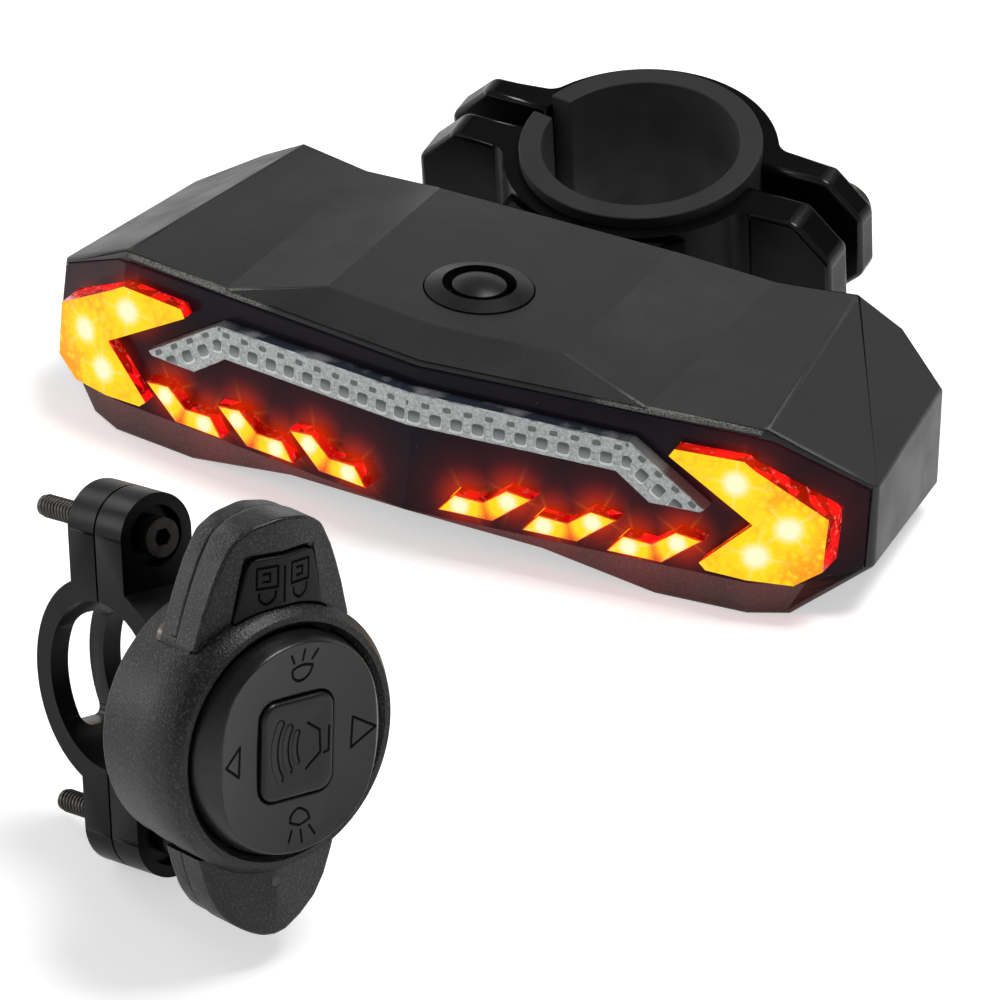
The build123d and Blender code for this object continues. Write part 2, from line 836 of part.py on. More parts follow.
def bracket_screws():
    screws = []
    inner = recess_y - housing_wall
    for x, z in bracket_screw_spots():
        screw = rod(bracket_screw_radius, -overrun / 4, housing_wall + bracket_screw_bite)
        screw += rod(bracket_screw_head_radius, -bracket_screw_head_height, -press_gap)
        screws.append(along_y(screw, x, inner, z))
    return screws


def mount_bracket():
    # Drawn in the shared frame, between the housing's rear recess and the band of the clamp
    wall_y = lamp_frame.position.Y + recess_y + press_gap
    saddle = pipe(saddle_outer, saddle_inner, -band_height / 2, band_height / 2 - saddle_top_drop)
    saddle = saddle & block((-saddle_half_width, -blank, -blank), (saddle_half_width, 0, blank))
    neck = block((-neck_half_width, wall_y, neck_bottom), (neck_half_width, 0, neck_top))
    neck -= post_frame * rod((saddle_inner + saddle_outer) / 2, -blank, blank)
    foot_low = lamp_frame.position.Z + arch_crown_z + foot_margin
    foot = block((-foot_half_width, wall_y, foot_low),
                 (foot_half_width, wall_y + foot_wall, neck_top + foot_margin))
    foot = fillet(foot.edges().filter_by(Axis.Y), foot_margin)
    body = neck + foot + post_frame * saddle
    for x, z in bracket_screw_spots():
        hole = rod(bracket_screw_radius + press_gap, -overrun, bracket_screw_bite + slide_gap)
        body -= lamp_frame * along_y(hole, x, recess_y, z)
    return body


def ear_pair(face, far):
    # Flat ears on both sides, from their split face to their far face
    low = min(face, far)
    thick = abs(far - face)
    half = band_height / 2
    outline = [
        (-ear_end, -half + ear_corner), (-ear_end + ear_corner, -half), (ear_end - ear_corner, -half),
        (ear_end, -half + ear_corner), (ear_end, half - ear_corner), (ear_end - ear_corner, half),
        (-ear_end + ear_corner, half), (-ear_end, half - ear_corner),
    ]
    ears = extrude(Plane.XZ * Polygon(*outline, align=None), amount=thick, dir=(0, 1, 0))
    return Pos(0, low, 0) * ears


def clamp_half(front):
    face = front_ear_face if front else rear_ear_face
    far = front_ear_face - front_ear_wall if front else rear_ear_face + rear_ear_wall
    half_height = band_height / 2
    side = block((-blank, -blank, -blank), (blank, face, blank)) if front else \
        block((-blank, face, -blank), (blank, blank, blank))
    body = ear_pair(face, far) + (rod(band_outer, -half_height, half_height) & side)
    inside_corners = body.edges().filter_by(Axis.Z).filter_by(lambda edge: on_band(edge, far))
    body = fillet(inside_corners, ear_fillet)
    return body - rod(band_inner, -blank, blank)


def on_band(edge, far):
    # True for the upright edges where the band meets the ears
    middle = edge.center()
    reach = math.hypot(middle.X, middle.Y)
    return abs(reach - band_outer) < press_gap and abs(middle.Y - far) < press_gap


def clamp_bolt_spots():
    return (clamp_bolt_x, -clamp_bolt_x)


def clamp_front():
    body = clamp_half(True)
    for x in clamp_bolt_spots():
        body -= along_y(rod(clamp_insert_radius + press_gap, -blank, 0), x, front_ear_face, 0) & \
            block((-blank, front_ear_face - front_ear_wall + clamp_bolt_tip_wall, -blank), (blank, blank, blank))
    return post_frame * body


def clamp_inserts():
    low = -front_ear_wall + clamp_bolt_tip_wall + press_gap
    sleeve = rod(clamp_insert_radius, low, -slide_gap)
    sleeve -= rod(clamp_bolt_radius + press_gap, low - overrun, overrun)
    return [post_frame * along_y(sleeve, x, front_ear_face, 0) for x in clamp_bolt_spots()]


def clamp_rear():
    body = clamp_half(False)
    for x in clamp_bolt_spots():
        hole = rod(clamp_bolt_radius + slide_gap, -overrun, rear_ear_wall + overrun)
        body -= along_y(hole, x, rear_ear_face, 0)
    return post_frame * body


def clamp_bolts():
    seat = clamp_split + rear_ear_wall + press_gap
    tip = -front_ear_wall + clamp_bolt_tip_wall + slide_gap
    bolt = rod(clamp_bolt_radius, tip, seat) + rod(clamp_head_radius, seat, seat + clamp_head_height)
    top = seat + clamp_head_height
    key = RegularPolygon(clamp_key_radius, 6)
    bolt -= Pos(0, 0, top - clamp_key_depth) * extrude(key, amount=clamp_key_depth + overrun)
    return [post_frame * along_y(bolt, x, front_ear_face, 0) for x in clamp_bolt_spots()]


def post_liner():
    body = pipe(liner_radius, post_radius, -liner_height / 2, liner_height / 2)
    slot = block((0, -liner_slot / 2, -blank), (blank, liner_slot / 2, blank))
    return post_frame * (body - Rot(0, 0, liner_slot_angle) * slot)


def remote_frame(height):
    # The remote's own frame, with the middle of its dial at a height above the origin
    heading = math.radians(remote_heading)
    lean = math.radians(remote_lean)
    roll = math.radians(remote_roll)
    facing = Vector(math.cos(heading) * math.cos(lean), math.sin(heading) * math.cos(lean), math.sin(lean))
    level = Vector(-math.sin(heading), math.cos(heading), 0)
    up = facing.cross(level)
    right = level * math.cos(roll) + up * math.sin(roll)
    return Plane(origin=(remote_x, remote_y, height), x_dir=right, z_dir=facing).location


def tab_slab(outline, low, high, grow=0):
    return slab(grown(mirror_points(outline), grow), low, high)


def remote_outline(radius, low, high, grow=0):
    # The round case with its two tabs
    body = rod(radius + grow, low, high)
    return body + tab_slab(upper_tab_outline, low, high, grow) + tab_slab(lower_tab_outline, low, high, grow)


def roof_cut(body):
    # The tabs fall away on both sides of a crease down their middle
    fall = math.degrees(math.atan(tab_crease_drop_share))
    for side in (1, -1):
        body = shave(body, Plane.XY.rotated((0, side * fall, 0)))
    return body


def remote_front_housing():
    disc = [
        (0, front_parting_z), (rim_radius, front_parting_z), (rim_radius, rim_bevel_z),
        (ridge_outer_radius, ridge_z), (ridge_inner_radius, ridge_z), (well_radius, well_lip_z),
        (well_radius, well_floor_z), (0, well_floor_z),
    ]
    tabs = tab_slab(upper_tab_outline, front_parting_z, 0) + tab_slab(lower_tab_outline, front_parting_z, 0)
    tabs = roof_cut(tabs) - rod(rim_radius - shell_wall, -blank, blank)
    body = tabs + revolve(Plane.XZ * Polygon(*disc, align=None), Axis.Z)
    roof = well_floor_z - well_floor_wall
    body -= remote_outline(rim_radius, front_parting_z - overrun, roof, -shell_wall)
    for x, y in case_screw_spots:
        body += rod(case_boss_radius, front_parting_z, roof, x, y)
        body -= rod(case_screw_radius + press_gap, front_parting_z - overrun, roof - press_gap, x, y)
    body -= key_shape(well_floor_z * 2, blank, key_gap)
    body -= rod(light_pipe_radius + press_gap, -blank, blank, 0, light_pipe_y)
    body -= rod(horn_stem_radius + case_gap * 2, -blank, blank)
    for x, y in rocker_nub_spots():
        body -= rod(tact_plunger_hole, -blank, 0, x, y)
    return body + gimbal_posts()


def rocker_nub_spots():
    place = rocker_nub_place
    return [(place, 0), (0, place), (-place, 0), (0, -place)]


def gimbal_posts():
    posts = []
    for side in (1, -1):
        low = (min(side * lug_inner, side * lug_outer), -lug_half_width, well_floor_z - well_floor_wall / 2)
        high = (max(side * lug_inner, side * lug_outer), lug_half_width, pivot_z + lug_below)
        post = block(low, high)
        hole = Pos(0, 0, pivot_z) * Rot(0, 90, 0) * Cylinder(gimbal_pin_radius + press_gap, blank)
        posts.append(post - hole)
    return Part() + posts


def rocker_gimbal():
    ring = Cylinder(gimbal_outer_radius, gimbal_height) - Cylinder(gimbal_inner_radius, blank)
    ring = Pos(0, 0, pivot_z) * ring
    inner = (gimbal_inner_radius + gimbal_outer_radius) / 2
    for turn in range(4):
        pin = Pos((inner + gimbal_pin_end) / 2, 0, pivot_z) * Rot(0, 90, 0) * \
            Cylinder(gimbal_pin_radius, gimbal_pin_end - inner)
        ring += Rot(0, 0, turn * 90) * pin
    return ring


def horn_blank(half_width, half_height, low, high, corner):
    body = block((-half_width, -half_height, low), (half_width, half_height, high))
    return fillet(body.edges().filter_by(Axis.Z), corner)


def rocker_profile(drop):
    # Half outline of the cap's top from its middle to its edge, lowered by the drop
    edge = (rocker_radius - drop, rocker_edge_z - drop / 2)
    crest = (rocker_crest_radius, rocker_crest_z - drop)
    dish = (0, rocker_dish_z - drop)
    shoulder = ThreePointArc(crest, ((crest[0] + edge[0]) / 2 + (edge[0] - crest[0]) * 0.18,
                                     (crest[1] + edge[1]) / 2 + (crest[1] - edge[1]) * 0.18), edge)
    saucer = ThreePointArc(dish, (crest[0] / 2, dish[1] + (crest[1] - dish[1]) * 0.3), crest)
    return saucer, shoulder, dish, edge


def rocker_solid(drop, low):
    saucer, shoulder, dish, edge = rocker_profile(drop)
    side = Polyline(edge, (edge[0], low), (0, low), dish)
    return revolve(Plane.XZ * make_face([saucer, shoulder, side]), Axis.Z)


def rocker_cap():
    body = rocker_solid(0, rocker_skirt_z) - rocker_solid(rocker_wall, rocker_skirt_z - overrun)
    body -= horn_blank(horn_half_width + horn_gap, horn_half_height + horn_gap, -blank, blank,
                       horn_corner + horn_gap)
    under = rocker_dish_z
    for x, y in rocker_nub_spots():
        body += rod(rocker_nub_radius, rocker_nub_z, under, x, y)
    for side in (1, -1):
        low = (-lug_half_width, min(side * lug_inner, side * lug_outer), pivot_z - lug_below)
        high = (lug_half_width, max(side * lug_inner, side * lug_outer), under)
        body += block(low, high)
    hole = Rot(90, 0, 0) * Cylinder(gimbal_pin_radius + press_gap, 2 * gimbal_pin_end + overrun)
    hole = Pos(0, 0, pivot_z) * hole
    return body - hole


def horn_button():
    body = horn_blank(horn_half_width, horn_half_height, horn_under_z, horn_top_z + overrun, horn_corner)
    dish_radius = blank / 2
    body -= Pos(0, 0, horn_top_z + dish_radius - slide_gap) * Sphere(dish_radius)
    rim = body.edges().filter_by(lambda edge: edge.center().Z > horn_top_z - 2 * slide_gap)
    body = fillet(rim, case_gap * 2) if rim else body
    return body + rod(horn_stem_radius, horn_stem_z, horn_under_z + slide_gap)


def key_shape(low, high, grow=0):
    top_y = key_top_y + grow
    outline = [
        (key_low_half_width + grow, 0), (key_low_half_width + grow, key_low_y),
        (key_top_half_width + grow, top_y),
    ]
    sketch = Polygon(*mirror_points(outline), align=None) - Circle(key_arc_radius - grow)
    return Pos(0, 0, low) * extrude(sketch, amount=high - low, dir=(0, 0, 1))


def lamp_key():
    cap = Pos(0, 0, key_top_z) * roof_cut(key_shape(key_flange_z - key_top_z, overrun))
    flange = key_shape(key_flange_z - key_flange_wall, key_flange_z, key_gap + key_flange)
    flange = flange - rod(remote_board_radius + case_gap, -blank, blank)
    stem_low = remote_board_top_z + tact_dome_height() + press_gap + key_travel
    stem = rod(horn_stem_radius / 2, stem_low, key_flange_z, 0, key_switch_y)
    return cap + flange + stem


def tact_dome_height():
    return remote_board_wall * 0.4


def remote_board():
    high = remote_board_top_z
    low = high - remote_board_wall
    body = rod(remote_board_radius, low, high)
    body += block((-remote_board_tongue_half_width, 0, low),
                  (remote_board_tongue_half_width, remote_board_tongue_y, high))
    for x, y in case_screw_spots:
        body -= rod(case_boss_radius + case_gap * 2, -blank, blank, x, y)
    return body


def push_switches():
    low = remote_board_top_z
    switches = []
    for x, y in rocker_nub_spots() + [(0, 0)]:
        body = rod(tact_body_radius, low, low + tact_body_height, x, y)
        switches.append(body + rod(tact_plunger_radius, low, tact_top_z, x, y))
    dome = rod(dome_radius, low, low + tact_dome_height(), 0, key_switch_y)
    return switches + [dome]


def light_pipe():
    return rod(light_pipe_radius, front_parting_z + slide_gap, -slide_gap, 0, light_pipe_y)


def remote_rear_housing():
    body = rod(rear_radius, rear_z, front_parting_z - press_gap)
    grow = rear_radius - rim_radius
    for outline in (upper_tab_outline, lower_tab_outline):
        body += tab_slab(outline, rear_tab_z, front_parting_z - press_gap, grow)
    body -= remote_outline(rim_radius, rear_z + rear_floor_wall, blank, -shell_wall) & \
        block((-blank, -blank, rear_z), (blank, blank, blank))
    for x, y in case_screw_spots:
        body += rod(case_boss_radius, rear_z + rear_floor_wall / 2, front_parting_z - press_gap, x, y)
        body -= rod(case_screw_radius + slide_gap, -blank, blank, x, y)
        head_top = rear_z + case_screw_head_height + slide_gap
        body -= rod(case_screw_head_radius + slide_gap, -blank, head_top, x, y)
    return body


def case_screws():
    screws = []
    for x, y in case_screw_spots:
        seat = rear_z + case_screw_head_height
        screw = rod(case_screw_radius, seat - press_gap, well_floor_z - well_floor_wall - slide_gap, x, y)
        screws.append(screw + rod(case_screw_head_radius, rear_z + slide_gap, seat, x, y))
    return screws


def ring_seal(gap=0):
    top = rear_z - press_gap + gap
    low = rear_z - ring_seal_height - gap
    return pipe(ring_seal_outer_radius + gap, ring_seal_inner_radius - gap, low, top)


def battery_can():
    body = rod(can_radius, can_z, rear_z - press_gap)
    body = chamfer(body.faces().sort_by(Axis.Z)[0].edges(), can_wall / 2)
    body -= rod(can_radius - can_wall, can_z + can_floor_wall, blank)
    body -= ring_seal(press_gap)
    for side in (1, -1):
        body -= rod(can_screw_radius + slide_gap, -blank, blank, 0, side * can_screw_place)
    return body


def coin_cell():
    low = can_z + can_floor_wall + coin_gap
    body = rod(coin_radius, low, low + coin_height)
    return chamfer(body.faces().sort_by(Axis.Z)[-1].edges(), coin_height / 8)


def cell_contact():
    # The spring strip between the coin cell and the rear housing's floor
    high = rear_z - press_gap
    strip = block((-contact_half_length, -contact_half_width, can_z + can_floor_wall + 2 * coin_gap + coin_height),
                  (contact_half_length, contact_half_width, high))
    return fillet(strip.edges().filter_by(Axis.Z), contact_half_width / 2)


def bar_place():
    return Location((0, bar_y, bar_z), (bar_turn, 0, 0))


def bar_ear(side, low, high):
    # An ear of the bar clamp with a round end, from low to high along the screws
    body = block((-bar_band_half_width, min(0, side * bar_bolt_place), low),
                 (bar_band_half_width, max(0, side * bar_bolt_place), high))
    return body + rod(bar_band_half_width, low, high, 0, side * bar_bolt_place)


def bar_half(sign):
    near = sign * bar_split / 2
    far = sign * bar_ear_wall
    low = min(near, far)
    high = max(near, far)
    band = Rot(0, 90, 0) * Cylinder(bar_band_radius, 2 * bar_band_half_width)
    half = block((-blank, -blank, near), (blank, blank, blank)) if sign > 0 else \
        block((-blank, -blank, -blank), (blank, blank, near))
    return (band & half) + bar_ear(1, low, high) + bar_ear(-1, low, high)


def bar_bore():
    return Rot(0, 90, 0) * Cylinder(bar_radius, blank)


def bar_clamp_front():
    body = bar_place() * bar_half(1)
    outline = [
        (-plinth_radius + plinth_wall, can_z), (plinth_radius - plinth_wall, can_z),
        (pedestal_top_half_height, pedestal_waist_z), (pedestal_low_half_height, pedestal_low_z),
        (-pedestal_low_half_height, pedestal_low_z), (-pedestal_top_half_height, pedestal_waist_z),
    ]
    web = extrude(Plane.YZ * Polygon(*outline, align=None), amount=bar_band_half_width, both=True)
    plinth = rod(plinth_radius, can_z - plinth_wall, can_z - press_gap)
    body += (web & block((-blank, -blank, -blank), (blank, blank, can_z - press_gap))) + plinth
    body -= bar_place() * (bar_bore() + block((-blank, -blank, -blank), (blank, blank, bar_split / 2)))
    for side in (1, -1):
        body -= rod(can_screw_radius + press_gap, can_z - plinth_wall + press_gap, can_z + overrun, 0,
                    side * can_screw_place)
        hole = rod(bar_screw_radius + slide_gap, -blank, blank, 0, side * bar_bolt_place)
        well = rod(bar_head_well_radius, bar_ear_wall - bar_head_well_depth, blank, 0, side * bar_bolt_place)
        body -= bar_place() * (hole + well)
    return body


def bar_clamp_rear():
    body = bar_half(-1) - bar_bore()
    window_low = -bar_band_radius - overrun
    window = block((-bar_window_half_width, -bar_window_half_height, window_low),
                   (bar_window_half_width, bar_window_half_height, 0))
    body -= fillet(window.edges().filter_by(Axis.Z), bar_window_half_width / 2)
    for side in (1, -1):
        body -= rod(bar_screw_radius + slide_gap, -blank, blank, 0, side * bar_bolt_place)
        body -= rod(bar_insert_radius + press_gap, -bar_ear_wall - overrun, -bar_ear_wall + bar_insert_height, 0,
                    side * bar_bolt_place)
    return bar_place() * body


def bar_inserts():
    low = -bar_ear_wall
    sleeve = pipe(bar_insert_radius, bar_screw_radius + press_gap, low, low + bar_insert_height - press_gap)
    return [bar_place() * Pos(0, side * bar_bolt_place) * sleeve for side in (1, -1)]


def bar_screws():
    seat = bar_ear_wall - bar_head_well_depth + press_gap
    screws = []
    for side, tip in zip((1, -1), bar_screw_tips):
        top = seat + bar_screw_head_height
        screw = rod(bar_screw_radius, -tip, seat) + rod(bar_screw_head_radius, seat, top)
        key = RegularPolygon(bar_key_radius, 6)
        screw -= Pos(0, 0, top - bar_key_depth) * extrude(key, amount=bar_key_depth + overrun)
        screws.append(bar_place() * Pos(0, side * bar_bolt_place) * screw)
    return screws


def can_screws():
    seat = can_z + can_floor_wall
    screw = rod(can_screw_radius, can_z - can_screw_bite, seat + press_gap)
    screw += rod(can_screw_head_radius, seat + press_gap, seat + press_gap + can_screw_head_height)
    return [Pos(0, side * can_screw_place) * screw for side in (1, -1)]


lamp_nodes = {
    "upper_housing": upper_housing,
    "bottom_cover": bottom_cover,
    "bottom_cover_seal": lambda: cover_groove(0),
    "cover_screws": cover_screws,
    "front_plate": front_plate,
    "light_reflector": light_reflector,
    "led_board_right": lambda: led_board(1),
    "led_board_left": lambda: led_board(-1),
    "board_screws": board_screws,
    "signal_leds": signal_leds,
    "brake_leds": brake_leds,
    "battery_cell": battery_cell,
    "battery_cradle": battery_cradle,
    "control_board": control_board,
    "sounder": sounder,
    "button_bezel": button_bezel,
    "power_button": power_button,
    "power_switch": power_switch,
    "charging_socket": charging_socket,
    "charging_board": charging_board,
    "port_plug": port_plug,
    "bracket_screws": bracket_screws,
}
post_nodes = {
    "mount_bracket": mount_bracket,
    "clamp_front": clamp_front,
    "clamp_rear": clamp_rear,
    "clamp_bolts": clamp_bolts,
    "clamp_inserts": clamp_inserts,
    "post_liner": post_liner,
}
remote_nodes = {
    "remote_front_housing": remote_front_housing,
    "remote_rear_housing": remote_rear_housing,
    "remote_case_screws": case_screws,
    "rocker_cap": rocker_cap,
    "rocker_gimbal": rocker_gimbal,
    "horn_button": horn_button,
    "lamp_key": lamp_key,
    "remote_board": remote_board,
    "push_switches": push_switches,
    "indicator_light_pipe": light_pipe,
    "battery_can": battery_can,
    "can_seal": ring_seal,
    "can_screws": can_screws,
    "coin_cell": coin_cell,
    "cell_contact": cell_contact,
    "bar_clamp_front": bar_clamp_front,
    "bar_clamp_rear": bar_clamp_rear,
    "bar_clamp_screws": bar_screws,
    "bar_clamp_inserts": bar_inserts,
}


def as_list(made):
    return list(made) if isinstance(made, (list, tuple)) else [made]


def placed(made, place):
    solids = [place * solid for shape in as_list(made) for solid in shape.solids()]
    return Compound(children=solids) if len(solids) > 1 else solids[0]


def build_all():
    nodes = {}
    for name, make in lamp_nodes.items():
        nodes[name] = placed(make(), lamp_frame)
    for name, outline in lens_outlines().items():
        nodes[name] = placed(lens(outline), lamp_frame)
    for name, make in post_nodes.items():
        nodes[name] = placed(make(), Location())
    remote = {name: make() for name, make in remote_nodes.items()}
    level = remote_frame(0)
    lowest = min(placed(made, level).bounding_box().min.Z for made in remote.values())
    stand = remote_frame(floor_z - lowest)
    for name, made in remote.items():
        nodes[name] = placed(made, stand)
    return nodes


for name, shape in build_all().items():
    export_step(shape, "parts/" + name + ".step")
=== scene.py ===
import json
import math

import bmesh
import bpy
from mathutils import Matrix, Vector

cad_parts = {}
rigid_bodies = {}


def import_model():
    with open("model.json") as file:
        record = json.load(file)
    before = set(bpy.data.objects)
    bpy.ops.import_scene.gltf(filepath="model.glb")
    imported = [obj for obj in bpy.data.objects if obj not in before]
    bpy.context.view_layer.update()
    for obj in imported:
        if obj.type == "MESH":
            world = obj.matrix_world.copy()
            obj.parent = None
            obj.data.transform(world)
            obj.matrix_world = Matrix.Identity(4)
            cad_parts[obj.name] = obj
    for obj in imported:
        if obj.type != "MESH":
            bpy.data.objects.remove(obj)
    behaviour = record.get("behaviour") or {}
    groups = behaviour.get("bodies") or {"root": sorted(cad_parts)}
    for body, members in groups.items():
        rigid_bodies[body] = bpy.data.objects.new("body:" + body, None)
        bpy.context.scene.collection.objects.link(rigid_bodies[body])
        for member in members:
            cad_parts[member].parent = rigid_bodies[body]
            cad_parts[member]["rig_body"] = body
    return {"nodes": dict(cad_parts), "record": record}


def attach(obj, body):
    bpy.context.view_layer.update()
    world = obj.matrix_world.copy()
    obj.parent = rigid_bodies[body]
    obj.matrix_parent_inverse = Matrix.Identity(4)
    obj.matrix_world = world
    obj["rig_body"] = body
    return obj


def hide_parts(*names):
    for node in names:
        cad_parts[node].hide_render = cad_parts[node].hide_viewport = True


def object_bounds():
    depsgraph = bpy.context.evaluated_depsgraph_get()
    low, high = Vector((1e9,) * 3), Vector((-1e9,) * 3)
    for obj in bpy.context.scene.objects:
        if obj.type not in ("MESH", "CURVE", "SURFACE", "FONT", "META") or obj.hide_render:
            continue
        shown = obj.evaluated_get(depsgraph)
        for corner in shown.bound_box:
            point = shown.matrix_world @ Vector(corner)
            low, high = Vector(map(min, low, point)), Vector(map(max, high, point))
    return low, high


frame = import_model()
cad_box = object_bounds()

# Places and sizes, in metres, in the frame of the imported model
MM = 0.001
LAMP_ORIGIN = Vector((0, -2.78, 12.5)) * MM
FLOOR_Z = cad_box[0][2]
FLOOR_GAP = 0.02 * MM
REMOTE_ORIGIN = Vector((35.23, -188.15, 12.83)) * MM
REMOTE_HEADING = math.radians(-23.6)
REMOTE_LEAN = math.radians(8.7)
REMOTE_ROLL = math.radians(-5.7)

# The lamp's front in plan, in millimetres: its middle, where its wings start, and how far the middle and the
# wings run back for each millimetre across
FRONT_Y = -80.3
WING_X = 53.0
FRONT_SWEEP = 0.128
WING_SWEEP = 0.235

# Camera, set to the photograph's point of view
CAMERA_PLACE = Vector((409.2, -926.5, 518.5)) * MM
CAMERA_AZIMUTH = math.radians(24.953)
CAMERA_ELEVATION = math.radians(29.462)
CAMERA_ROLL = math.radians(3.223)
CAMERA_LENS = 261.6
CAMERA_SENSOR = 36.0


def remote_axes():
    # Right, up and outward directions of the remote's dial
    heading = Vector((math.cos(REMOTE_HEADING), math.sin(REMOTE_HEADING), 0))
    outward = heading * math.cos(REMOTE_LEAN) + Vector((0, 0, math.sin(REMOTE_LEAN)))
    level = Vector((-math.sin(REMOTE_HEADING), math.cos(REMOTE_HEADING), 0))
    up = outward.cross(level)
    right = level * math.cos(REMOTE_ROLL) + up * math.sin(REMOTE_ROLL)
    return right, outward.cross(right), outward


REMOTE_AXES = remote_axes()


def on_remote(x, y, z):
    # A point of the remote's own frame, given in millimetres
    right, up, outward = REMOTE_AXES
    return REMOTE_ORIGIN + (right * x + up * y + outward * z) * MM


class Value:
    """A number, colour or vector that varies over a surface. Sums and products of numbers add Math nodes."""

    def __init__(self, finish, socket):
        self.finish = finish
        self.socket = socket

    def math(self, operation, *others):
        return self.finish.node("ShaderNodeMath", {"operation": operation}, (self,) + others)

    def __add__(self, other):
        return self.math("ADD", other)

    def __radd__(self, other):
        return self.math("ADD", other)

    def __sub__(self, other):
        return self.math("SUBTRACT", other)

    def __rsub__(self, other):
        return self.finish.node("ShaderNodeMath", {"operation": "SUBTRACT"}, (other, self))

    def __mul__(self, other):
        return self.math("MULTIPLY", other)

    def __rmul__(self, other):
        return self.math("MULTIPLY", other)

    def __truediv__(self, other):
        return self.math("DIVIDE", other)

    def __pow__(self, other):
        return self.math("POWER", other)


def set_stops(ramp, stops):
    while len(ramp.elements) < len(stops):
        ramp.elements.new(1.0)
    for element, (position, colour) in zip(ramp.elements, stops):
        element.position = position
        element.color = tuple(colour) + (1.0,) * (4 - len(colour))


class Finish:
    """A material, or the world, whose shader is made of procedural nodes."""

    def __init__(self, name, kind="Material"):
        self.kind = kind
        self.owner = bpy.data.worlds.new(name) if kind == "World" else bpy.data.materials.new(name)
        self.owner.use_nodes = True
        self.tree = self.owner.node_tree
        self.tree.nodes.clear()
        self.place = self.node("ShaderNodeTexCoord", output="Generated" if kind == "World" else "Object")

    def node(self, kind, settings=None, inputs=(), output=0):
        made = self.tree.nodes.new(kind)
        for name, value in (settings or {}).items():
            if name == "stops":
                set_stops(made.color_ramp, value)
            else:
                setattr(made, name, value)
        pairs = inputs.items() if isinstance(inputs, dict) else enumerate(inputs)
        for key, value in pairs:
            if isinstance(value, Value):
                self.tree.links.new(value.socket, made.inputs[key])
            else:
                made.inputs[key].default_value = value
        return Value(self, made.outputs[output]) if len(made.outputs) else None

    def axis(self, name, vector=None):
        return self.node("ShaderNodeSeparateXYZ", None, (vector or self.place,), name)

    def vector(self, x, y, z):
        return self.node("ShaderNodeCombineXYZ", None, (x, y, z))

    def vector_math(self, operation, first, second, output="Vector"):
        return self.node("ShaderNodeVectorMath", {"operation": operation}, (first, second), output)

    def noise(self, size, detail=2.0, vector=None):
        # Cloudy noise whose features are about the given size in metres
        inputs = {"Vector": vector or self.place, "Scale": 1.0 / size, "Detail": detail}
        return self.node("ShaderNodeTexNoise", None, inputs, "Fac")

    def cells(self, size, vector=None, output="Distance"):
        inputs = {"Vector": vector or self.place, "Scale": 1.0 / size}
        return self.node("ShaderNodeTexVoronoi", None, inputs, output)

    def span(self, value, low, high, to_low=0.0, to_high=1.0):
        # The value's stretch from low to high, as a clamped share
        return self.node("ShaderNodeMapRange", None, (value, low, high, to_low, to_high))

    def mix(self, factor, first, second, blend="MIX"):
        first = first if isinstance(first, Value) else tuple(first) + (1.0,)
        second = second if isinstance(second, Value) else tuple(second) + (1.0,)
        settings = {"data_type": "RGBA", "blend_type": blend}
        return self.node("ShaderNodeMix", settings, {0: factor, 6: first, 7: second}, 2)

    def bump(self, height, depth, strength=1.0, over=None):
        # Relief of a height, laid over another relief where one is given
        inputs = {"Strength": strength, "Distance": depth, "Height": height}
        if over:
            inputs["Normal"] = over
        return self.node("ShaderNodeBump", None, inputs)

    def shader(self, inputs, fixed=None):
        return self.node("ShaderNodeBsdfPrincipled", None, {**inputs, **(fixed or {})})

    def finish(self, shader):
        self.node("ShaderNodeOutput" + self.kind, None, {"Surface": shader})
        return self.owner


def grained_plastic(name, colour, light, grain_size, depth, roughness, gloss=0.5, specks=(0.35, 0.75)):
    # Moulded plastic with faint wear and an even spark-eroded grain, which turns light from one noise level
    # of the specks to the other
    look = Finish(name)
    grain = look.noise(grain_size, 3.0)
    cloud = look.noise(grain_size * 60, 3.0)
    base = look.mix(look.span(grain, *specks), colour, light)
    rough = look.span(cloud, 0.3, 0.7, roughness - 0.08, roughness + 0.08)
    inputs = {"Base Color": base, "Roughness": rough, "Normal": look.bump(grain, depth)}
    return look.finish(look.shader(inputs, {"Specular IOR Level": gloss}))


def polished_plastic(name, colour, roughness):
    # Smooth plastic with a faint waviness, as polished moulds leave it
    look = Finish(name)
    cloud = look.noise(6 * MM, 3.0)
    fine = look.noise(0.25 * MM, 2.0)
    rough = look.span(cloud + fine * 0.3, 0.4, 0.9, roughness, roughness + 0.06)
    tint = look.mix(cloud, colour, [channel * 1.25 for channel in colour])
    inputs = {"Base Color": tint, "Roughness": rough, "Normal": look.bump(fine, 0.004 * MM)}
    return look.finish(look.shader(inputs))


def metal(name, colour, roughness):
    # Steel or brass with faint drawn streaks and duller spots
    look = Finish(name)
    streak = look.noise(0.2 * MM, 2.0, look.vector_math("MULTIPLY", look.place, (1.0, 1.0, 0.08)))
    spots = look.noise(1.5 * MM, 4.0)
    base = look.mix(look.span(spots, 0.4, 0.8), colour, [channel * 0.55 for channel in colour])
    rough = look.span(streak, 0.3, 0.7, roughness, roughness + 0.12)
    normal = look.bump(streak, 0.01 * MM)
    inputs = {"Base Color": base, "Roughness": rough, "Normal": normal, "Metallic": 1.0}
    return look.finish(look.shader(inputs))


# Places of the light sources behind the right half of the front: across and up, in lamp millimetres
ARROW_SPOTS = [(50.6, -10.7), (58.8, -16.9), (54.6, -21.7)]
TICK_SPOTS = [(9.3, -23.6), (16.6, -21.4)]
TICK_PITCH = 13.1
TICK_DROP = 0.4
TICK_COUNT = 3
ALL_TICK_SPOTS = [
    (x + TICK_PITCH * index, z - TICK_DROP * index) for index in range(TICK_COUNT) for x, z in TICK_SPOTS
]
LED_SPOTS = ARROW_SPOTS + ALL_TICK_SPOTS


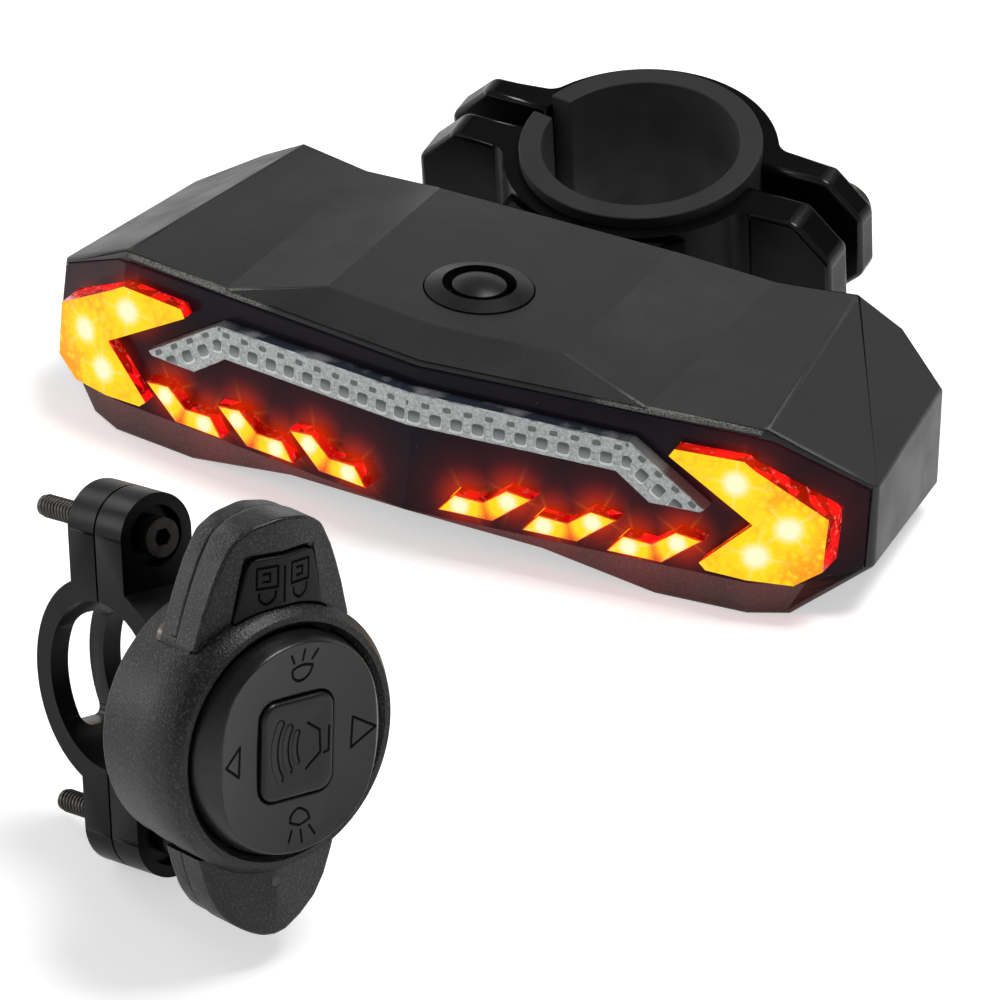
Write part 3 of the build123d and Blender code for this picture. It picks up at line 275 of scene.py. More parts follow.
def front_place(look):
    # Distance across from the middle of the front, and height from the deck, in millimetres
    across = look.axis("X").math("ABSOLUTE") / MM
    height = (look.axis("Z") - LAMP_ORIGIN.z) / MM
    return across, height


def nearness(look, spots, reach):
    # 1 on a spot, falling to 0 at about twice the reach from every spot
    across, height = front_place(look)
    here = look.vector(across, height, 0.0)
    best = None
    for x, z in spots:
        away = look.vector_math("DISTANCE", here, (x, z, 0.0), "Value")
        near = (away * away * (-1.0 / reach ** 2)).math("EXPONENT")
        best = near if best is None else best.math("MAXIMUM", near)
    return best


def painted_star_glints(look, spots, reach, count):
    # Painted star glints: fine rays that leave each spot
    across, height = front_place(look)
    best = None
    for index, (x, z) in enumerate(spots):
        right = across - x
        up = height - z
        turn = up.math("ARCTAN2", right)
        ray = (turn * count + index * 1.7).math("COSINE").math("ABSOLUTE") ** 90.0
        away = (right * right + up * up) * (-1.0 / reach ** 2)
        near = ray * away.math("EXPONENT")
        best = near if best is None else best.math("MAXIMUM", near)
    return best


def side_wall(look):
    # 1 on faces that look up, down or sideways, 0 on those that look out of the front
    facing = look.axis("Y", look.node("ShaderNodeNewGeometry", output="Normal"))
    return look.span(facing * -1.0, 0.82, 0.7)


def lit_lens(name):
    # Amber lens over bright light sources: white hot spots, yellow round them, red in its side walls, and
    # painted star glints
    look = Finish(name)
    across, height = front_place(look)
    hot = nearness(look, ARROW_SPOTS, 1.7).math("MAXIMUM", nearness(look, ALL_TICK_SPOTS, 1.2))
    warm = nearness(look, ARROW_SPOTS, 4.2).math("MAXIMUM", nearness(look, ALL_TICK_SPOTS, 2.7))
    rays = painted_star_glints(look, LED_SPOTS, 3.2, 2.0)
    dimples = look.cells(1.25 * MM)
    grit = look.noise(0.8 * MM, 4.0)
    cloud = look.noise(4.5 * MM, 3.0)
    outer = look.span(across, 50.0, 63.0)
    shade = dimples * (outer * 0.7 + 0.3) + grit * 0.6 + cloud * 0.7
    amber = look.mix(look.span(shade, 0.75, 1.15), (1.0, 0.68, 0.0), (0.95, 0.33, 0.0))
    amber = look.mix(look.span(warm, 0.05, 0.75), amber, (1.0, 0.74, 0.0))
    amber = look.mix(look.span(grit, 0.58, 0.7) * 0.5, amber, (1.0, 0.84, 0.08))
    tick_dark = look.span(nearness(look, ALL_TICK_SPOTS, 3.1), 0.42, 0.12) * look.span(across, 46.4, 45.6)
    tick_dark = tick_dark * look.span(height, -15.0, -16.0)
    amber = look.mix(tick_dark, amber, (0.80, 0.04, 0.0))
    # Painted star glints over the lens face
    amber = look.mix(rays * 0.7, amber, (1.0, 0.88, 0.35))
    face = look.mix(look.span(hot, 0.10, 0.62), amber, (1.0, 0.97, 0.62))
    facets = look.axis("X", look.cells(2.2 * MM, output="Color"))
    fine = look.noise(0.9 * MM, 4.0)
    wall = look.mix(look.span(facets, 0.25, 0.8), (0.26, 0.0, 0.0), (1.0, 0.004, 0.008))
    wall = look.mix(look.span(fine, 0.58, 0.68) * (outer * 0.55 + 0.2), wall, (1.0, 0.27, 0.24))
    wall = look.mix(look.span(warm, 0.25, 1.0) * 0.45, wall, (1.0, 0.05, 0.0))
    glow = look.mix(side_wall(look), face, wall)
    normal = look.bump(dimples + facets * 0.4, 0.10 * MM, 0.5)
    fixed = {"Emission Strength": 1.0, "Roughness": 0.14, "Base Color": (0.12, 0.01, 0.0, 1.0),
             "Specular IOR Level": 0.2}
    return look.finish(look.shader({"Emission Color": glow, "Normal": normal}, fixed))


def lens_edge(name, colour, dim, lit):
    # The narrow rounded edge of a lens, which gathers its light: lit, it glows; unlit, its pale colour is a
    # painted highlight
    look = Finish(name)
    streak = look.noise(1.4 * MM, 3.0)
    tint = look.mix(look.span(streak, 0.35, 0.65), colour, dim)
    if not lit:
        return look.finish(look.shader({"Base Color": tint}, {"Roughness": 0.12}))
    fixed = {"Emission Strength": 1.0, "Roughness": 0.15, "Base Color": (0.2, 0.02, 0.0, 1.0)}
    return look.finish(look.shader({"Emission Color": tint}, fixed))


def smoked_front(name):
    # Glossy smoked plastic with a painted red glow round the lit lenses, where their light spills onto it,
    # and painted star glints
    look = Finish(name)
    near = nearness(look, LED_SPOTS, 3.3)
    wide = nearness(look, LED_SPOTS, 6.5)
    rays = painted_star_glints(look, LED_SPOTS, 3.0, 2.0)
    cloud = look.noise(9 * MM, 3.0)
    dust = look.noise(0.3 * MM, 2.0)
    specks = look.cells(2.6 * MM)
    base = look.mix(cloud, (0.006, 0.005, 0.009), (0.013, 0.010, 0.017))
    base = look.mix(look.span(specks, 0.05, 0.02) * 0.5, base, (0.2, 0.2, 0.2))
    # Painted light: the red glow of the lenses' light on the plate, given as emission
    spill = look.mix(look.span(near, 0.03, 0.9), (0.0, 0.0, 0.0), (0.50, 0.022, 0.0))
    spill = look.mix(look.span(wide, 0.0, 1.0) * 0.16, spill, (0.45, 0.01, 0.0), "ADD")
    # Painted star glints on the smoked plastic round the lenses
    spill = look.mix(rays * 0.3, spill, (1.0, 0.25, 0.02))
    rough = look.span(cloud, 0.3, 0.7, 0.15, 0.24)
    normal = look.bump(dust, 0.003 * MM)
    fixed = {"Emission Strength": 1.0, "Specular IOR Level": 0.08}
    inputs = {"Base Color": base, "Roughness": rough, "Normal": normal, "Emission Color": spill}
    return look.finish(look.shader(inputs, fixed))


# The clear strip's light cells: two staggered rows that turn down with the strip at its ends
STRIP_BEND_X = 34.2
STRIP_ROW_Z = -10.0
STRIP_TURN = math.radians(34.0)
CELL_PITCH = 3.3


def strip_place(look):
    # Distance along the strip and up from its middle line, in millimetres
    across, height = front_place(look)
    past = across - STRIP_BEND_X
    above = height - STRIP_ROW_Z
    along_end = past * math.cos(STRIP_TURN) - above * math.sin(STRIP_TURN)
    up_end = past * math.sin(STRIP_TURN) + above * math.cos(STRIP_TURN)
    in_end = look.span(past + above * 0.31, -0.2, 0.2)
    level = 1.0 - in_end
    return past * level + along_end * in_end, above * level + up_end * in_end


def cell_shape(along, up, shift, row, wide, tall):
    # Rises past 1 outside a rounded cell of the given half width and height
    step = (along / CELL_PITCH + shift + 100.0).math("FRACT")
    right = (step - 0.5) * CELL_PITCH / wide
    over = (up - row) / tall
    return right ** 2.0 * right ** 2.0 + over ** 2.0 * over ** 2.0


def housing_shell(name, highlit_rim):
    # Grained housing plastic, whose lip under the front has a painted brownish highlight in its specks and a
    # painted red glow of the lenses' light. Another has a painted pale highlight in the specks of its rim
    # over the front.
    look = Finish(name)
    across, height = front_place(look)
    past = (across - WING_X).math("MAXIMUM", 0.0)
    behind = look.axis("Y") / MM - FRONT_Y - across * FRONT_SWEEP - past * WING_SWEEP
    front = look.span(behind, 4.5, 1.5)
    grain = look.noise(0.18 * MM, 3.0)
    cloud = look.noise(10 * MM, 3.0)
    low = front * look.span(height, -26.5, -27.3)
    base = look.mix(look.span(grain, 0.35, 0.75), (0.006, 0.006, 0.0065), (0.018, 0.018, 0.019))
    # Painted brownish highlight in the specks of the lip under the front
    base = look.mix(low * look.span(grain, 0.5, 0.68) * 0.8, base, (0.10, 0.055, 0.035))
    if highlit_rim:
        # Painted pale highlight in the specks of the rim over the front
        rim = look.span(across, 26.0, 29.0) * look.span(across, 53.6, 52.4)
        pale = front * look.span(height, -7.0, -5.0) * rim
        base = look.mix(pale * look.span(grain, 0.4, 0.6), base, (0.30, 0.29, 0.26))
    # Painted light: red glow of the lenses' light on the lip, given as emission
    red = low * look.span(nearness(look, LED_SPOTS, 9.0), 0.05, 0.9)
    glow = look.mix(red, (0.0, 0.0, 0.0), (0.11, 0.009, 0.009))
    inputs = {"Base Color": base, "Roughness": look.span(cloud, 0.3, 0.7, 0.38, 0.54),
              "Normal": look.bump(grain, 0.03 * MM), "Emission Color": glow}
    return look.finish(look.shader(inputs, {"Emission Strength": 1.0, "Specular IOR Level": 0.45}))


def ribbed_clear(name):
    # Clear plastic strip over unlit light sources, with painted shade in its cups and a painted highlight on
    # the lip below each
    look = Finish(name)
    across = front_place(look)[0]
    along, up = strip_place(look)
    dash = look.span(cell_shape(along, up, 0.0, 1.25, 0.62, 0.40), 1.5, 0.7)
    cup_shape = cell_shape(along, up, 0.5, -0.75, 0.92, 0.88)
    cup = look.span(cup_shape, 1.25, 0.75)
    lip = look.span(cell_shape(along, up, 0.5, -1.15, 1.02, 0.92), 1.4, 0.9) * (1.0 - cup)
    ring_shape = cell_shape(along, up, 0.0, -0.95, 0.62, 0.6)
    ring = look.span(ring_shape, 1.6, 1.0) * look.span(ring_shape, 0.35, 0.8)
    grit = look.noise(0.45 * MM, 4.0)
    face = look.mix(look.span(grit, 0.38, 0.66), (0.34, 0.375, 0.375), (0.58, 0.62, 0.62))
    face = look.mix(ring * 0.4, face, (0.12, 0.13, 0.13))
    # Painted highlight: the pale lip under each cup
    face = look.mix(lip * 0.7, face, (0.85, 0.88, 0.88))
    # Painted shade: each cup dark, darkest at its top and paler toward its bottom
    cup_shade = look.mix(look.span(up, -1.5, -0.2), (0.25, 0.28, 0.28), (0.022, 0.024, 0.028))
    face = look.mix(cup, face, cup_shade)
    face = look.mix(dash * 0.85, face, (0.02, 0.022, 0.025))
    cloud = look.noise(5.0 * MM, 3.0)
    wall = look.mix(look.span(cloud, 0.5, 0.68), (0.020, 0.024, 0.036), (0.16, 0.16, 0.17))
    wall = look.mix(look.span(across, 31.0, 40.0) * 0.85, wall, (0.26, 0.25, 0.235))
    base = look.mix(side_wall(look), face, wall)
    normal = look.bump(cup * -1.0 - dash + lip * 0.6 + ring * 0.3 + grit * 0.4, 0.22 * MM, 0.7)
    fixed = {"Roughness": 0.14, "IOR": 1.5, "Coat Weight": 0.5, "Coat Roughness": 0.05}
    return look.finish(look.shader({"Base Color": base, "Normal": normal}, fixed))


# Pictures raised on the remote's buttons, as strokes of points in its own millimetres
HORN_STROKES = [
    [(1.6, 3.2), (3.6, 1.8), (3.8, -1.4), (1.5, -3.3)],
    [(5.1, 2.0), (5.1, -1.4), (4.4, -1.6)],
]
# The horn's sound waves: middle across, radius, half width and half angle of each
HORN_WAVES = [(4.0, 8.0, 0.58, 29.0), (4.9, 7.0, 0.52, 25.5), (5.0, 5.5, 0.45, 21.5)]


def smooth_between(a, b, c, d, share):
    # A number between b and c, on the smooth curve through four numbers in a row
    square = 2 * a - 5 * b + 4 * c - d
    cube = 3 * b - a - 3 * c + d
    return 0.5 * (2 * b + (c - a) * share + square * share ** 2 + cube * share ** 3)


def rounded_stroke(points, pieces=4):
    # The stroke as a smooth curve through its points
    curve = []
    ends = [points[0]] + points + [points[-1]]
    for four in zip(ends, ends[1:], ends[2:], ends[3:]):
        for index in range(pieces):
            curve.append(tuple(smooth_between(*numbers, index / pieces) for numbers in zip(*four)))
    return curve + [points[-1]]


ROCKER_STROKES = [
    rounded_stroke([(2.3, 11.3), (1.8, 10.0), (0.4, 9.3), (-0.8, 9.9), (-1.1, 11.1)]),
    rounded_stroke([(-1.1, 11.1), (0.4, 11.6), (2.3, 11.3)]),
    [(-1.5, 13.3), (-0.9, 12.1)],
    [(0.7, 13.8), (0.5, 12.3)],
    [(2.9, 13.4), (2.1, 12.2)],
    rounded_stroke([(-1.0, -10.6), (-0.7, -9.6), (0.6, -8.9), (1.9, -9.6), (2.3, -10.6)]),
    rounded_stroke([(-1.0, -10.6), (0.7, -11.2), (2.3, -10.6)]),
    [(-0.8, -11.8), (-1.4, -13.2)],
    [(0.7, -11.9), (0.8, -13.6)],
    [(2.2, -11.6), (3.0, -12.9)],
    [(-9.7, 2.1), (-9.8, -2.1), (-12.2, -0.2), (-9.7, 2.1)],
    [(9.4, 2.3), (9.2, -2.1), (13.0, 0.3), (9.4, 2.3)],
]
# The two lamps on the key, each left or right of a line between them
LAMP_ASIDE = 2.75
KEY_MIDDLE_Y = 21.6
LAMP_STROKES = [
    [(-1.5, 3.2), (1.7, 3.2), (1.7, 0.3), (-1.5, 0.3), (-1.5, 3.2)],
    [(-0.5, 2.3), (0.5, 2.3), (0.5, 1.2), (-0.5, 1.2)],
    rounded_stroke([(-1.1, -0.4), (-1.0, -1.3), (0.1, -2.0), (1.2, -1.3), (1.4, -0.3)], 3),
]
KEY_STROKES = [[(0.0, 24.6), (0.0, 19.7)]] + [
    [(x + side * LAMP_ASIDE, y + KEY_MIDDLE_Y) for x, y in stroke]
    for side in (-1, 1)
    for stroke in LAMP_STROKES
]


def dial_spot(look):
    # Place on the remote's dial, across and up, in millimetres
    spot = look.vector_math("SUBTRACT", look.place, tuple(REMOTE_ORIGIN))
    right, up = REMOTE_AXES[:2]
    across = look.vector_math("DOT_PRODUCT", spot, tuple(right / MM), "Value")
    height = look.vector_math("DOT_PRODUCT", spot, tuple(up / MM), "Value")
    return look.vector(across, height, 0.0)


def stroke_lines(look, strokes, half_width):
    # 1 on the strokes and 0 off them
    here = dial_spot(look)
    nearest = None
    for stroke in strokes:
        for (x0, y0), (x1, y1) in zip(stroke, stroke[1:]):
            length = math.hypot(x1 - x0, y1 - y0)
            run = ((x1 - x0) / length, (y1 - y0) / length, 0.0)
            off = look.vector_math("SUBTRACT", here, (x0, y0, 0.0))
            along = look.vector_math("DOT_PRODUCT", off, run, "Value")
            share = along.math("MAXIMUM", 0.0).math("MINIMUM", length)
            foot = look.vector(share * run[0], share * run[1], 0.0)
            away = look.vector_math("DISTANCE", off, foot, "Value")
            nearest = away if nearest is None else nearest.math("MINIMUM", away)
    return look.span(nearest, half_width * 1.5, half_width * 0.6)


def wave_lines(look, waves, half_width):
    # Outlines of curved bands as painted shade, darker on their hollow side, and the bands themselves
    here = dial_spot(look)
    across, up = look.axis("X", here), look.axis("Y", here).math("ABSOLUTE")
    lines, bands = None, None
    for middle, radius, half_band, half_angle in waves:
        side = middle - across
        reach = math.radians(half_angle)
        over = (side * side + up * up).math("SQRT") - radius
        past = (up.math("ARCTAN2", side) - reach).math("MAXIMUM", 0.0) * radius
        away = (over * over + past * past).math("SQRT")
        hollow_side = look.span(over, 0.15, -0.15, 0.15, 1.0)
        outline = (away - half_band).math("ABSOLUTE")
        line = look.span(outline, half_width * 1.5, half_width * 0.6) * hollow_side
        band = look.span(away, half_band + 0.1, half_band - 0.1)
        lines = line if lines is None else lines.math("MAXIMUM", line)
        bands = band if bands is None else bands.math("MAXIMUM", band)
    return lines, bands


def pictured_plastic(name, strokes, colour, light, grain_size, depth, roughness, gloss, waves=()):
    # Satin plastic with pictures raised on it, whose edges carry painted shade as dark lines
    look = Finish(name)
    lines = stroke_lines(look, strokes, 0.17)
    height = lines * -1.0
    if waves:
        curved, bands = wave_lines(look, waves, 0.15)
        lines = lines.math("MAXIMUM", curved)
        height = height + bands
    grain = look.noise(grain_size, 3.0)
    cloud = look.noise(5 * MM, 2.0)
    base = look.mix(look.span(grain, 0.35, 0.75), colour, light)
    rough = look.span(cloud, 0.3, 0.7, roughness - 0.05, roughness + 0.05)
    normal = look.bump(height, 0.2 * MM, 0.7, look.bump(grain, depth))
    inputs = {"Base Color": base, "Roughness": rough, "Normal": normal}
    plastic = look.shader(inputs, {"Specular IOR Level": gloss})
    # Painted shade: a black shader mixed in along the pictures' lines
    shade = {"Base Color": (0.0005, 0.0005, 0.0005, 1.0), "Roughness": 0.9, "Specular IOR Level": 0.02}
    black = look.shader({}, shade)
    return look.finish(look.node("ShaderNodeMixShader", None, {0: lines * 0.92, 1: plastic, 2: black}))


def rubber(name, colour):
    # Dull rubber with a fine grain and paler clouds
    look = Finish(name)
    grain = look.noise(0.15 * MM, 3.0)
    cloud = look.noise(8 * MM, 3.0)
    base = look.mix(cloud, colour, [channel * 1.5 for channel in colour])
    rough = look.span(cloud, 0.3, 0.7, 0.62, 0.78)
    inputs = {"Base Color": base, "Roughness": rough, "Normal": look.bump(grain, 0.012 * MM)}
    return look.finish(look.shader(inputs))


def circuit_green(name):
    # Lacquered circuit board with copper fields under its green
    look = Finish(name)
    fields = look.cells(3 * MM, output="Color")
    fine = look.noise(0.6 * MM)
    base = look.mix(look.span(fields, 0.3, 0.7), (0.02, 0.14, 0.05), (0.04, 0.22, 0.08))
    rough = look.span(fine, 0.3, 0.7, 0.3, 0.45)
    return look.finish(look.shader({"Base Color": base, "Roughness": rough}))


def plain_shell(name, colour, roughness):
    # Pale moulded plastic of the inner pieces
    look = Finish(name)
    cloud = look.noise(2 * MM, 3.0)
    base = look.mix(cloud, colour, [channel * 0.85 for channel in colour])
    rough = look.span(cloud, 0.3, 0.7, roughness, roughness + 0.1)
    return look.finish(look.shader({"Base Color": base, "Roughness": rough}))


# Every finish: its name, the function that makes it, and that function's colours, sizes and roughness
FINISH_ROWS = [
    ("housing_plastic", grained_plastic, (0.006, 0.006, 0.0065), (0.018, 0.018, 0.019),
     0.18 * MM, 0.03 * MM, 0.46),
    ("housing_shell", housing_shell, False),
    # housing_edge: housing_shell with the painted pale rim highlight, for the housing's rounded edges
    ("housing_edge", housing_shell, True),
    ("clamp_plastic", grained_plastic, (0.0006, 0.0006, 0.0007), (0.002, 0.002, 0.0024),
     0.14 * MM, 0.008 * MM, 0.32, 0.10),
    # clamp_edge: a lighter and glossier copy of clamp_plastic for the rounded edges; its lighter colour is a
    # painted highlight
    ("clamp_edge", grained_plastic, (0.0015, 0.0015, 0.0018), (0.006, 0.006, 0.007),
     0.12 * MM, 0.006 * MM, 0.26, 0.3),
    ("remote_plastic", grained_plastic, (0.0020, 0.0018, 0.0017), (0.045, 0.042, 0.038),
     0.34 * MM, 0.09 * MM, 0.40, 0.32, (0.5, 0.72)),
    ("remote_gloss", pictured_plastic, ROCKER_STROKES, (0.003, 0.003, 0.0035), (0.009, 0.009, 0.011),
     0.22 * MM, 0.014 * MM, 0.30, 0.4),
    ("horn_gloss", pictured_plastic, HORN_STROKES, (0.002, 0.002, 0.0025), (0.008, 0.008, 0.010),
     0.22 * MM, 0.016 * MM, 0.32, 0.3, HORN_WAVES),
    ("key_plastic", pictured_plastic, KEY_STROKES, (0.001, 0.001, 0.0012), (0.012, 0.011, 0.011),
     0.24 * MM, 0.05 * MM, 0.42, 0.15),
    ("button_plastic", grained_plastic, (0.003, 0.003, 0.0035), (0.010, 0.010, 0.011),
     0.15 * MM, 0.01 * MM, 0.34, 0.3),
    ("front_smoke", smoked_front),
    ("amber_lens", lit_lens),
    ("amber_edge", lens_edge, (0.9, 0.12, 0.01), (0.55, 0.03, 0.0), True),
    ("strip_lens", ribbed_clear),
    ("strip_edge", lens_edge, (0.55, 0.56, 0.55), (0.16, 0.165, 0.17), False),
    ("liner_rubber", rubber, (0.004, 0.004, 0.0043)),
    ("seal_rubber", rubber, (0.008, 0.008, 0.008)),
    ("screw_steel", metal, (0.11, 0.10, 0.09), 0.30),
    ("black_steel", metal, (0.045, 0.042, 0.04), 0.34),
    ("bright_steel", metal, (0.6, 0.6, 0.6), 0.25),
    ("brass_insert", metal, (0.62, 0.46, 0.2), 0.3),
    ("board_green", circuit_green),
    ("led_white", plain_shell, (0.85, 0.82, 0.6), 0.3),
    ("light_pipe", polished_plastic, (0.012, 0.012, 0.012), 0.2),
    ("inner_white", plain_shell, (0.75, 0.75, 0.74), 0.5),
    ("cell_wrap", polished_plastic, (0.05, 0.12, 0.3), 0.25),
]
FINISHES = {name: make(name, *values) for name, make, *values in FINISH_ROWS}
SLOT_OF = {entry["node"]: entry["material_slot"] for entry in frame["record"]["subparts"]}


def dress(obj, *names):
    obj.data.materials.clear()
    for name in names:
        obj.data.materials.append(FINISHES[name])


for node, obj in frame["nodes"].items():
    dress(obj, SLOT_OF[node])
dress(frame["nodes"]["indicator_light_pipe"], "light_pipe")


def welded(node):
    # A copy of a node's mesh with its corners joined and its flat faces whole
    mesh = frame["nodes"][node].data.copy()
    work = bmesh.new()
    work.from_mesh(mesh)
    bmesh.ops.remove_doubles(work, verts=work.verts, dist=0.002 * MM)
    bmesh.ops.dissolve_limit(work, angle_limit=math.radians(0.4), verts=work.verts, edges=work.edges)
    return mesh, work


def new_piece(name, mesh, body, nodes=()):
    piece = bpy.data.objects.new(name, mesh)
    bpy.context.scene.collection.objects.link(piece)
    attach(piece, body)
    if nodes:
        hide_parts(*nodes)
    return piece


def edge_middle(edge):
    return (edge.verts[0].co + edge.verts[1].co) / 2


def edge_direction(edge):
    return (edge.verts[1].co - edge.verts[0].co).normalized()


def edge_turn(edge):
    # Degrees that the surface turns at the edge, above 0 where the edge sticks out
    return math.degrees(edge.calc_face_angle_signed(0.0)) if len(edge.link_faces) == 2 else 0.0


def softened(node, width, edge_finish=None, finish=None, rule=None, smooth=30.0, least_turn=20.0,
             least_length=0.6, clamp=True):
    # Stands for a node, with its outside edges rounded by the width and its smooth faces shaded smooth.
    # A rule gives some edges a width of their own, and None to the others.
    mesh, work = welded(node)
    widths = {}
    weight = work.edges.layers.float.new("bevel_weight_edge")
    for edge in work.edges:
        turn = edge_turn(edge)
        edge.smooth = abs(turn) < smooth
        if edge.calc_length() < least_length * MM:
            continue
        own = rule(edge) if rule else None
        if own is None:
            own = width if turn > least_turn else 0.0
        widths[edge] = own
    widest = max(widths.values(), default=0.0) or width
    for edge, own in widths.items():
        edge[weight] = own / widest
    work.to_mesh(mesh)
    work.free()
    for polygon in mesh.polygons:
        polygon.use_smooth = True
    piece = new_piece(node + "_dressed", mesh, frame["nodes"][node]["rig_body"], (node,))
    main_finish = finish or SLOT_OF[node]
    dress(piece, main_finish, edge_finish or main_finish)
    bevel = piece.modifiers.new("rounded edges", "BEVEL")
    bevel.limit_method = "WEIGHT"
    bevel.width = widest * MM
    bevel.segments = 3
    bevel.use_clamp_overlap = clamp
    bevel.harden_normals = True
    if edge_finish:
        bevel.material = 1


def solid_from_rings(name, rings, body, finish, nodes):
    # A closed skin through rings of points of equal count
    mesh = bpy.data.meshes.new(name)
    points = [point for ring in rings for point in ring]
    count = len(rings[0])
    faces = []
    for level in range(len(rings) - 1):
        for index in range(count):
            after = (index + 1) % count
            low = level * count
            faces.append((low + index, low + after, low + count + after, low + count + index))
    mesh.from_pydata([tuple(point) for point in points], [], faces)
    for polygon in mesh.polygons:
        polygon.use_smooth = True
    mesh.materials.append(FINISHES[finish])
    return new_piece(name, mesh, body, nodes)


# The remote's rocker and horn button, in its own millimetres
DIAL_RADIUS = 15.75
DIAL_SIDE = 13.7
DIAL_CREST = 14.75
DIAL_DISH_Z = 3.35
DIAL_CREST_Z = 4.35
DIAL_EDGE_Z = 1.1
DIAL_SKIRT_Z = -0.5
HOLE_HALF = (6.35, 7.3)
HORN_HALF = (6.05, 7.0)
HOLE_CORNER = 2.6
HORN_CORNER = 2.3
HORN_TOP_Z = 4.15
HORN_LOW_Z = 1.6
HORN_DISH = 0.3
# The horn button's rounded edge: how far in and how high each of its rings lies
HORN_RINGS = [
    (0.0, HORN_LOW_Z), (0.0, HORN_TOP_Z - 0.5), (0.07, HORN_TOP_Z - 0.3), (0.2, HORN_TOP_Z - 0.13),
    (0.4, HORN_TOP_Z - 0.03), (0.65, HORN_TOP_Z),
]
TURNS = 240
ANGLES = [2 * math.pi * index / TURNS for index in range(TURNS)]


def rounded_box(angle, half, corner):
    # The point at an angle on a rectangle with rounded corners
    x, y = math.cos(angle), math.sin(angle)
    low, high = 0.0, 2 * (half[0] + half[1])
    for _ in range(40):
        middle = (low + high) / 2
        dx = max(abs(x) * middle - half[0] + corner, 0.0)
        dy = max(abs(y) * middle - half[1] + corner, 0.0)
        if math.hypot(dx, dy) < corner:
            low = middle
        else:
            high = middle
    return x * low, y * low


def dial_share(x, y):
    # 1 on the line where the dished middle of the rocker ends
    return ((abs(x) / DIAL_SIDE) ** 9 + (math.hypot(x, y) / DIAL_CREST) ** 9) ** (1 / 9)


def dial_height(x, y, angle):
    share = dial_share(x, y)
    if share <= 1.0:
        return DIAL_DISH_Z + (DIAL_CREST_Z - DIAL_DISH_Z) * share ** 2.4
    last = dial_share(DIAL_RADIUS * math.cos(angle), DIAL_RADIUS * math.sin(angle))
    return DIAL_CREST_Z - (DIAL_CREST_Z - DIAL_EDGE_Z) * min((share - 1.0) / (last - 1.0), 1.0) ** 1.45


def rocker_piece():
    # Ring after ring from the hole for the horn button out to the rim, closer together at the crest
    steps = [index / 18 * 0.72 for index in range(18)] + [0.72 + index / 22 * 0.28 for index in range(23)]
    inner = [rounded_box(angle, HOLE_HALF, HOLE_CORNER) for angle in ANGLES]
    rim = [(DIAL_RADIUS * math.cos(angle), DIAL_RADIUS * math.sin(angle)) for angle in ANGLES]
    rings = [[on_remote(x, y, DIAL_SKIRT_Z) for x, y in inner]]
    for step in steps:
        ring = []
        for angle, (x0, y0), (x1, y1) in zip(ANGLES, inner, rim):
            x = x0 + (x1 - x0) * step
            y = y0 + (y1 - y0) * step
            ring.append(on_remote(x, y, dial_height(x, y, angle)))
        rings.append(ring)
    rings.append([on_remote(x, y, DIAL_SKIRT_Z) for x, y in rim])
    body = frame["nodes"]["rocker_cap"]["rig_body"]
    solid_from_rings("rocker_dished", rings, body, "remote_gloss", ("rocker_cap",))


def horn_outline(inset):
    # The horn button's outline, drawn in by the inset
    half = [size - inset for size in HORN_HALF]
    return [rounded_box(angle, half, HORN_CORNER - inset) for angle in ANGLES]


def horn_piece():
    rings = [[on_remote(x, y, z) for x, y in horn_outline(inset)] for inset, z in HORN_RINGS]
    edge = horn_outline(HORN_RINGS[-1][0])
    for share in (0.8, 0.6, 0.4, 0.2, 0.01):
        z = HORN_TOP_Z - HORN_DISH * (1 - share ** 2)
        rings.append([on_remote(x * share, y * share, z) for x, y in edge])
    body = frame["nodes"]["horn_button"]["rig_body"]
    solid_from_rings("horn_rounded", rings, body, "horn_gloss", ("horn_button",))


def thread(name, start, along, radius, length, pitch, body):
    # Ridges of a screw's thread round its shank
    side = along.orthogonal().normalized()
    across = along.cross(side)
    rings = []
    steps = 28
    for index in range(int(length / pitch * steps)):
        angle = 2 * math.pi * index / steps
        out = side * math.cos(angle) + across * math.sin(angle)
        base = start + along * (pitch * index / steps) * MM
        rings.append([
            base + out * (radius - 0.25) * MM,
            base + out * (radius + 0.02) * MM + along * pitch * 0.15 * MM,
            base + out * (radius + 0.17) * MM + along * pitch * 0.45 * MM,
            base + out * (radius + 0.02) * MM + along * pitch * 0.75 * MM,
        ])
    solid_from_rings(name, rings, body, "screw_steel", ())


def set_camera():
    camera = bpy.data.objects.new("camera", bpy.data.cameras.new("camera"))
    bpy.context.scene.collection.objects.link(camera)
    a, e = CAMERA_AZIMUTH, CAMERA_ELEVATION
    back = Vector((math.sin(a) * math.cos(e), -math.cos(a) * math.cos(e), math.sin(e)))
    level = Vector((math.cos(a), math.sin(a), 0))
    upright = back.cross(level)
    right = level * math.cos(CAMERA_ROLL) + upright * math.sin(CAMERA_ROLL)
    up = back.cross(right)
    turned = Matrix((right, up, back)).transposed().to_4x4()
    camera.matrix_world = Matrix.Translation(CAMERA_PLACE) @ turned
    camera.data.lens = CAMERA_LENS
    camera.data.sensor_width = CAMERA_SENSOR
    camera.data.clip_end = 20.0
    bpy.context.scene.camera = camera


# Soft lamps: name, place, what each looks at, width, and power in watts
LAMPS = [
    ("key", (0.42, 0.26, 1.6), (0, -0.08, 0), 0.7, 22),
    ("left", (-1.2, -0.5, 0.25), (0.03, -0.19, 0), 0.5, 3.6),
    ("back left", (-1.05, 0.25, 0.45), (0.0, -0.12, 0), 0.4, 2.4),
    ("front", (0.5, -1.3, 0.9), (0, -0.1, 0), 0.8, 1),
]


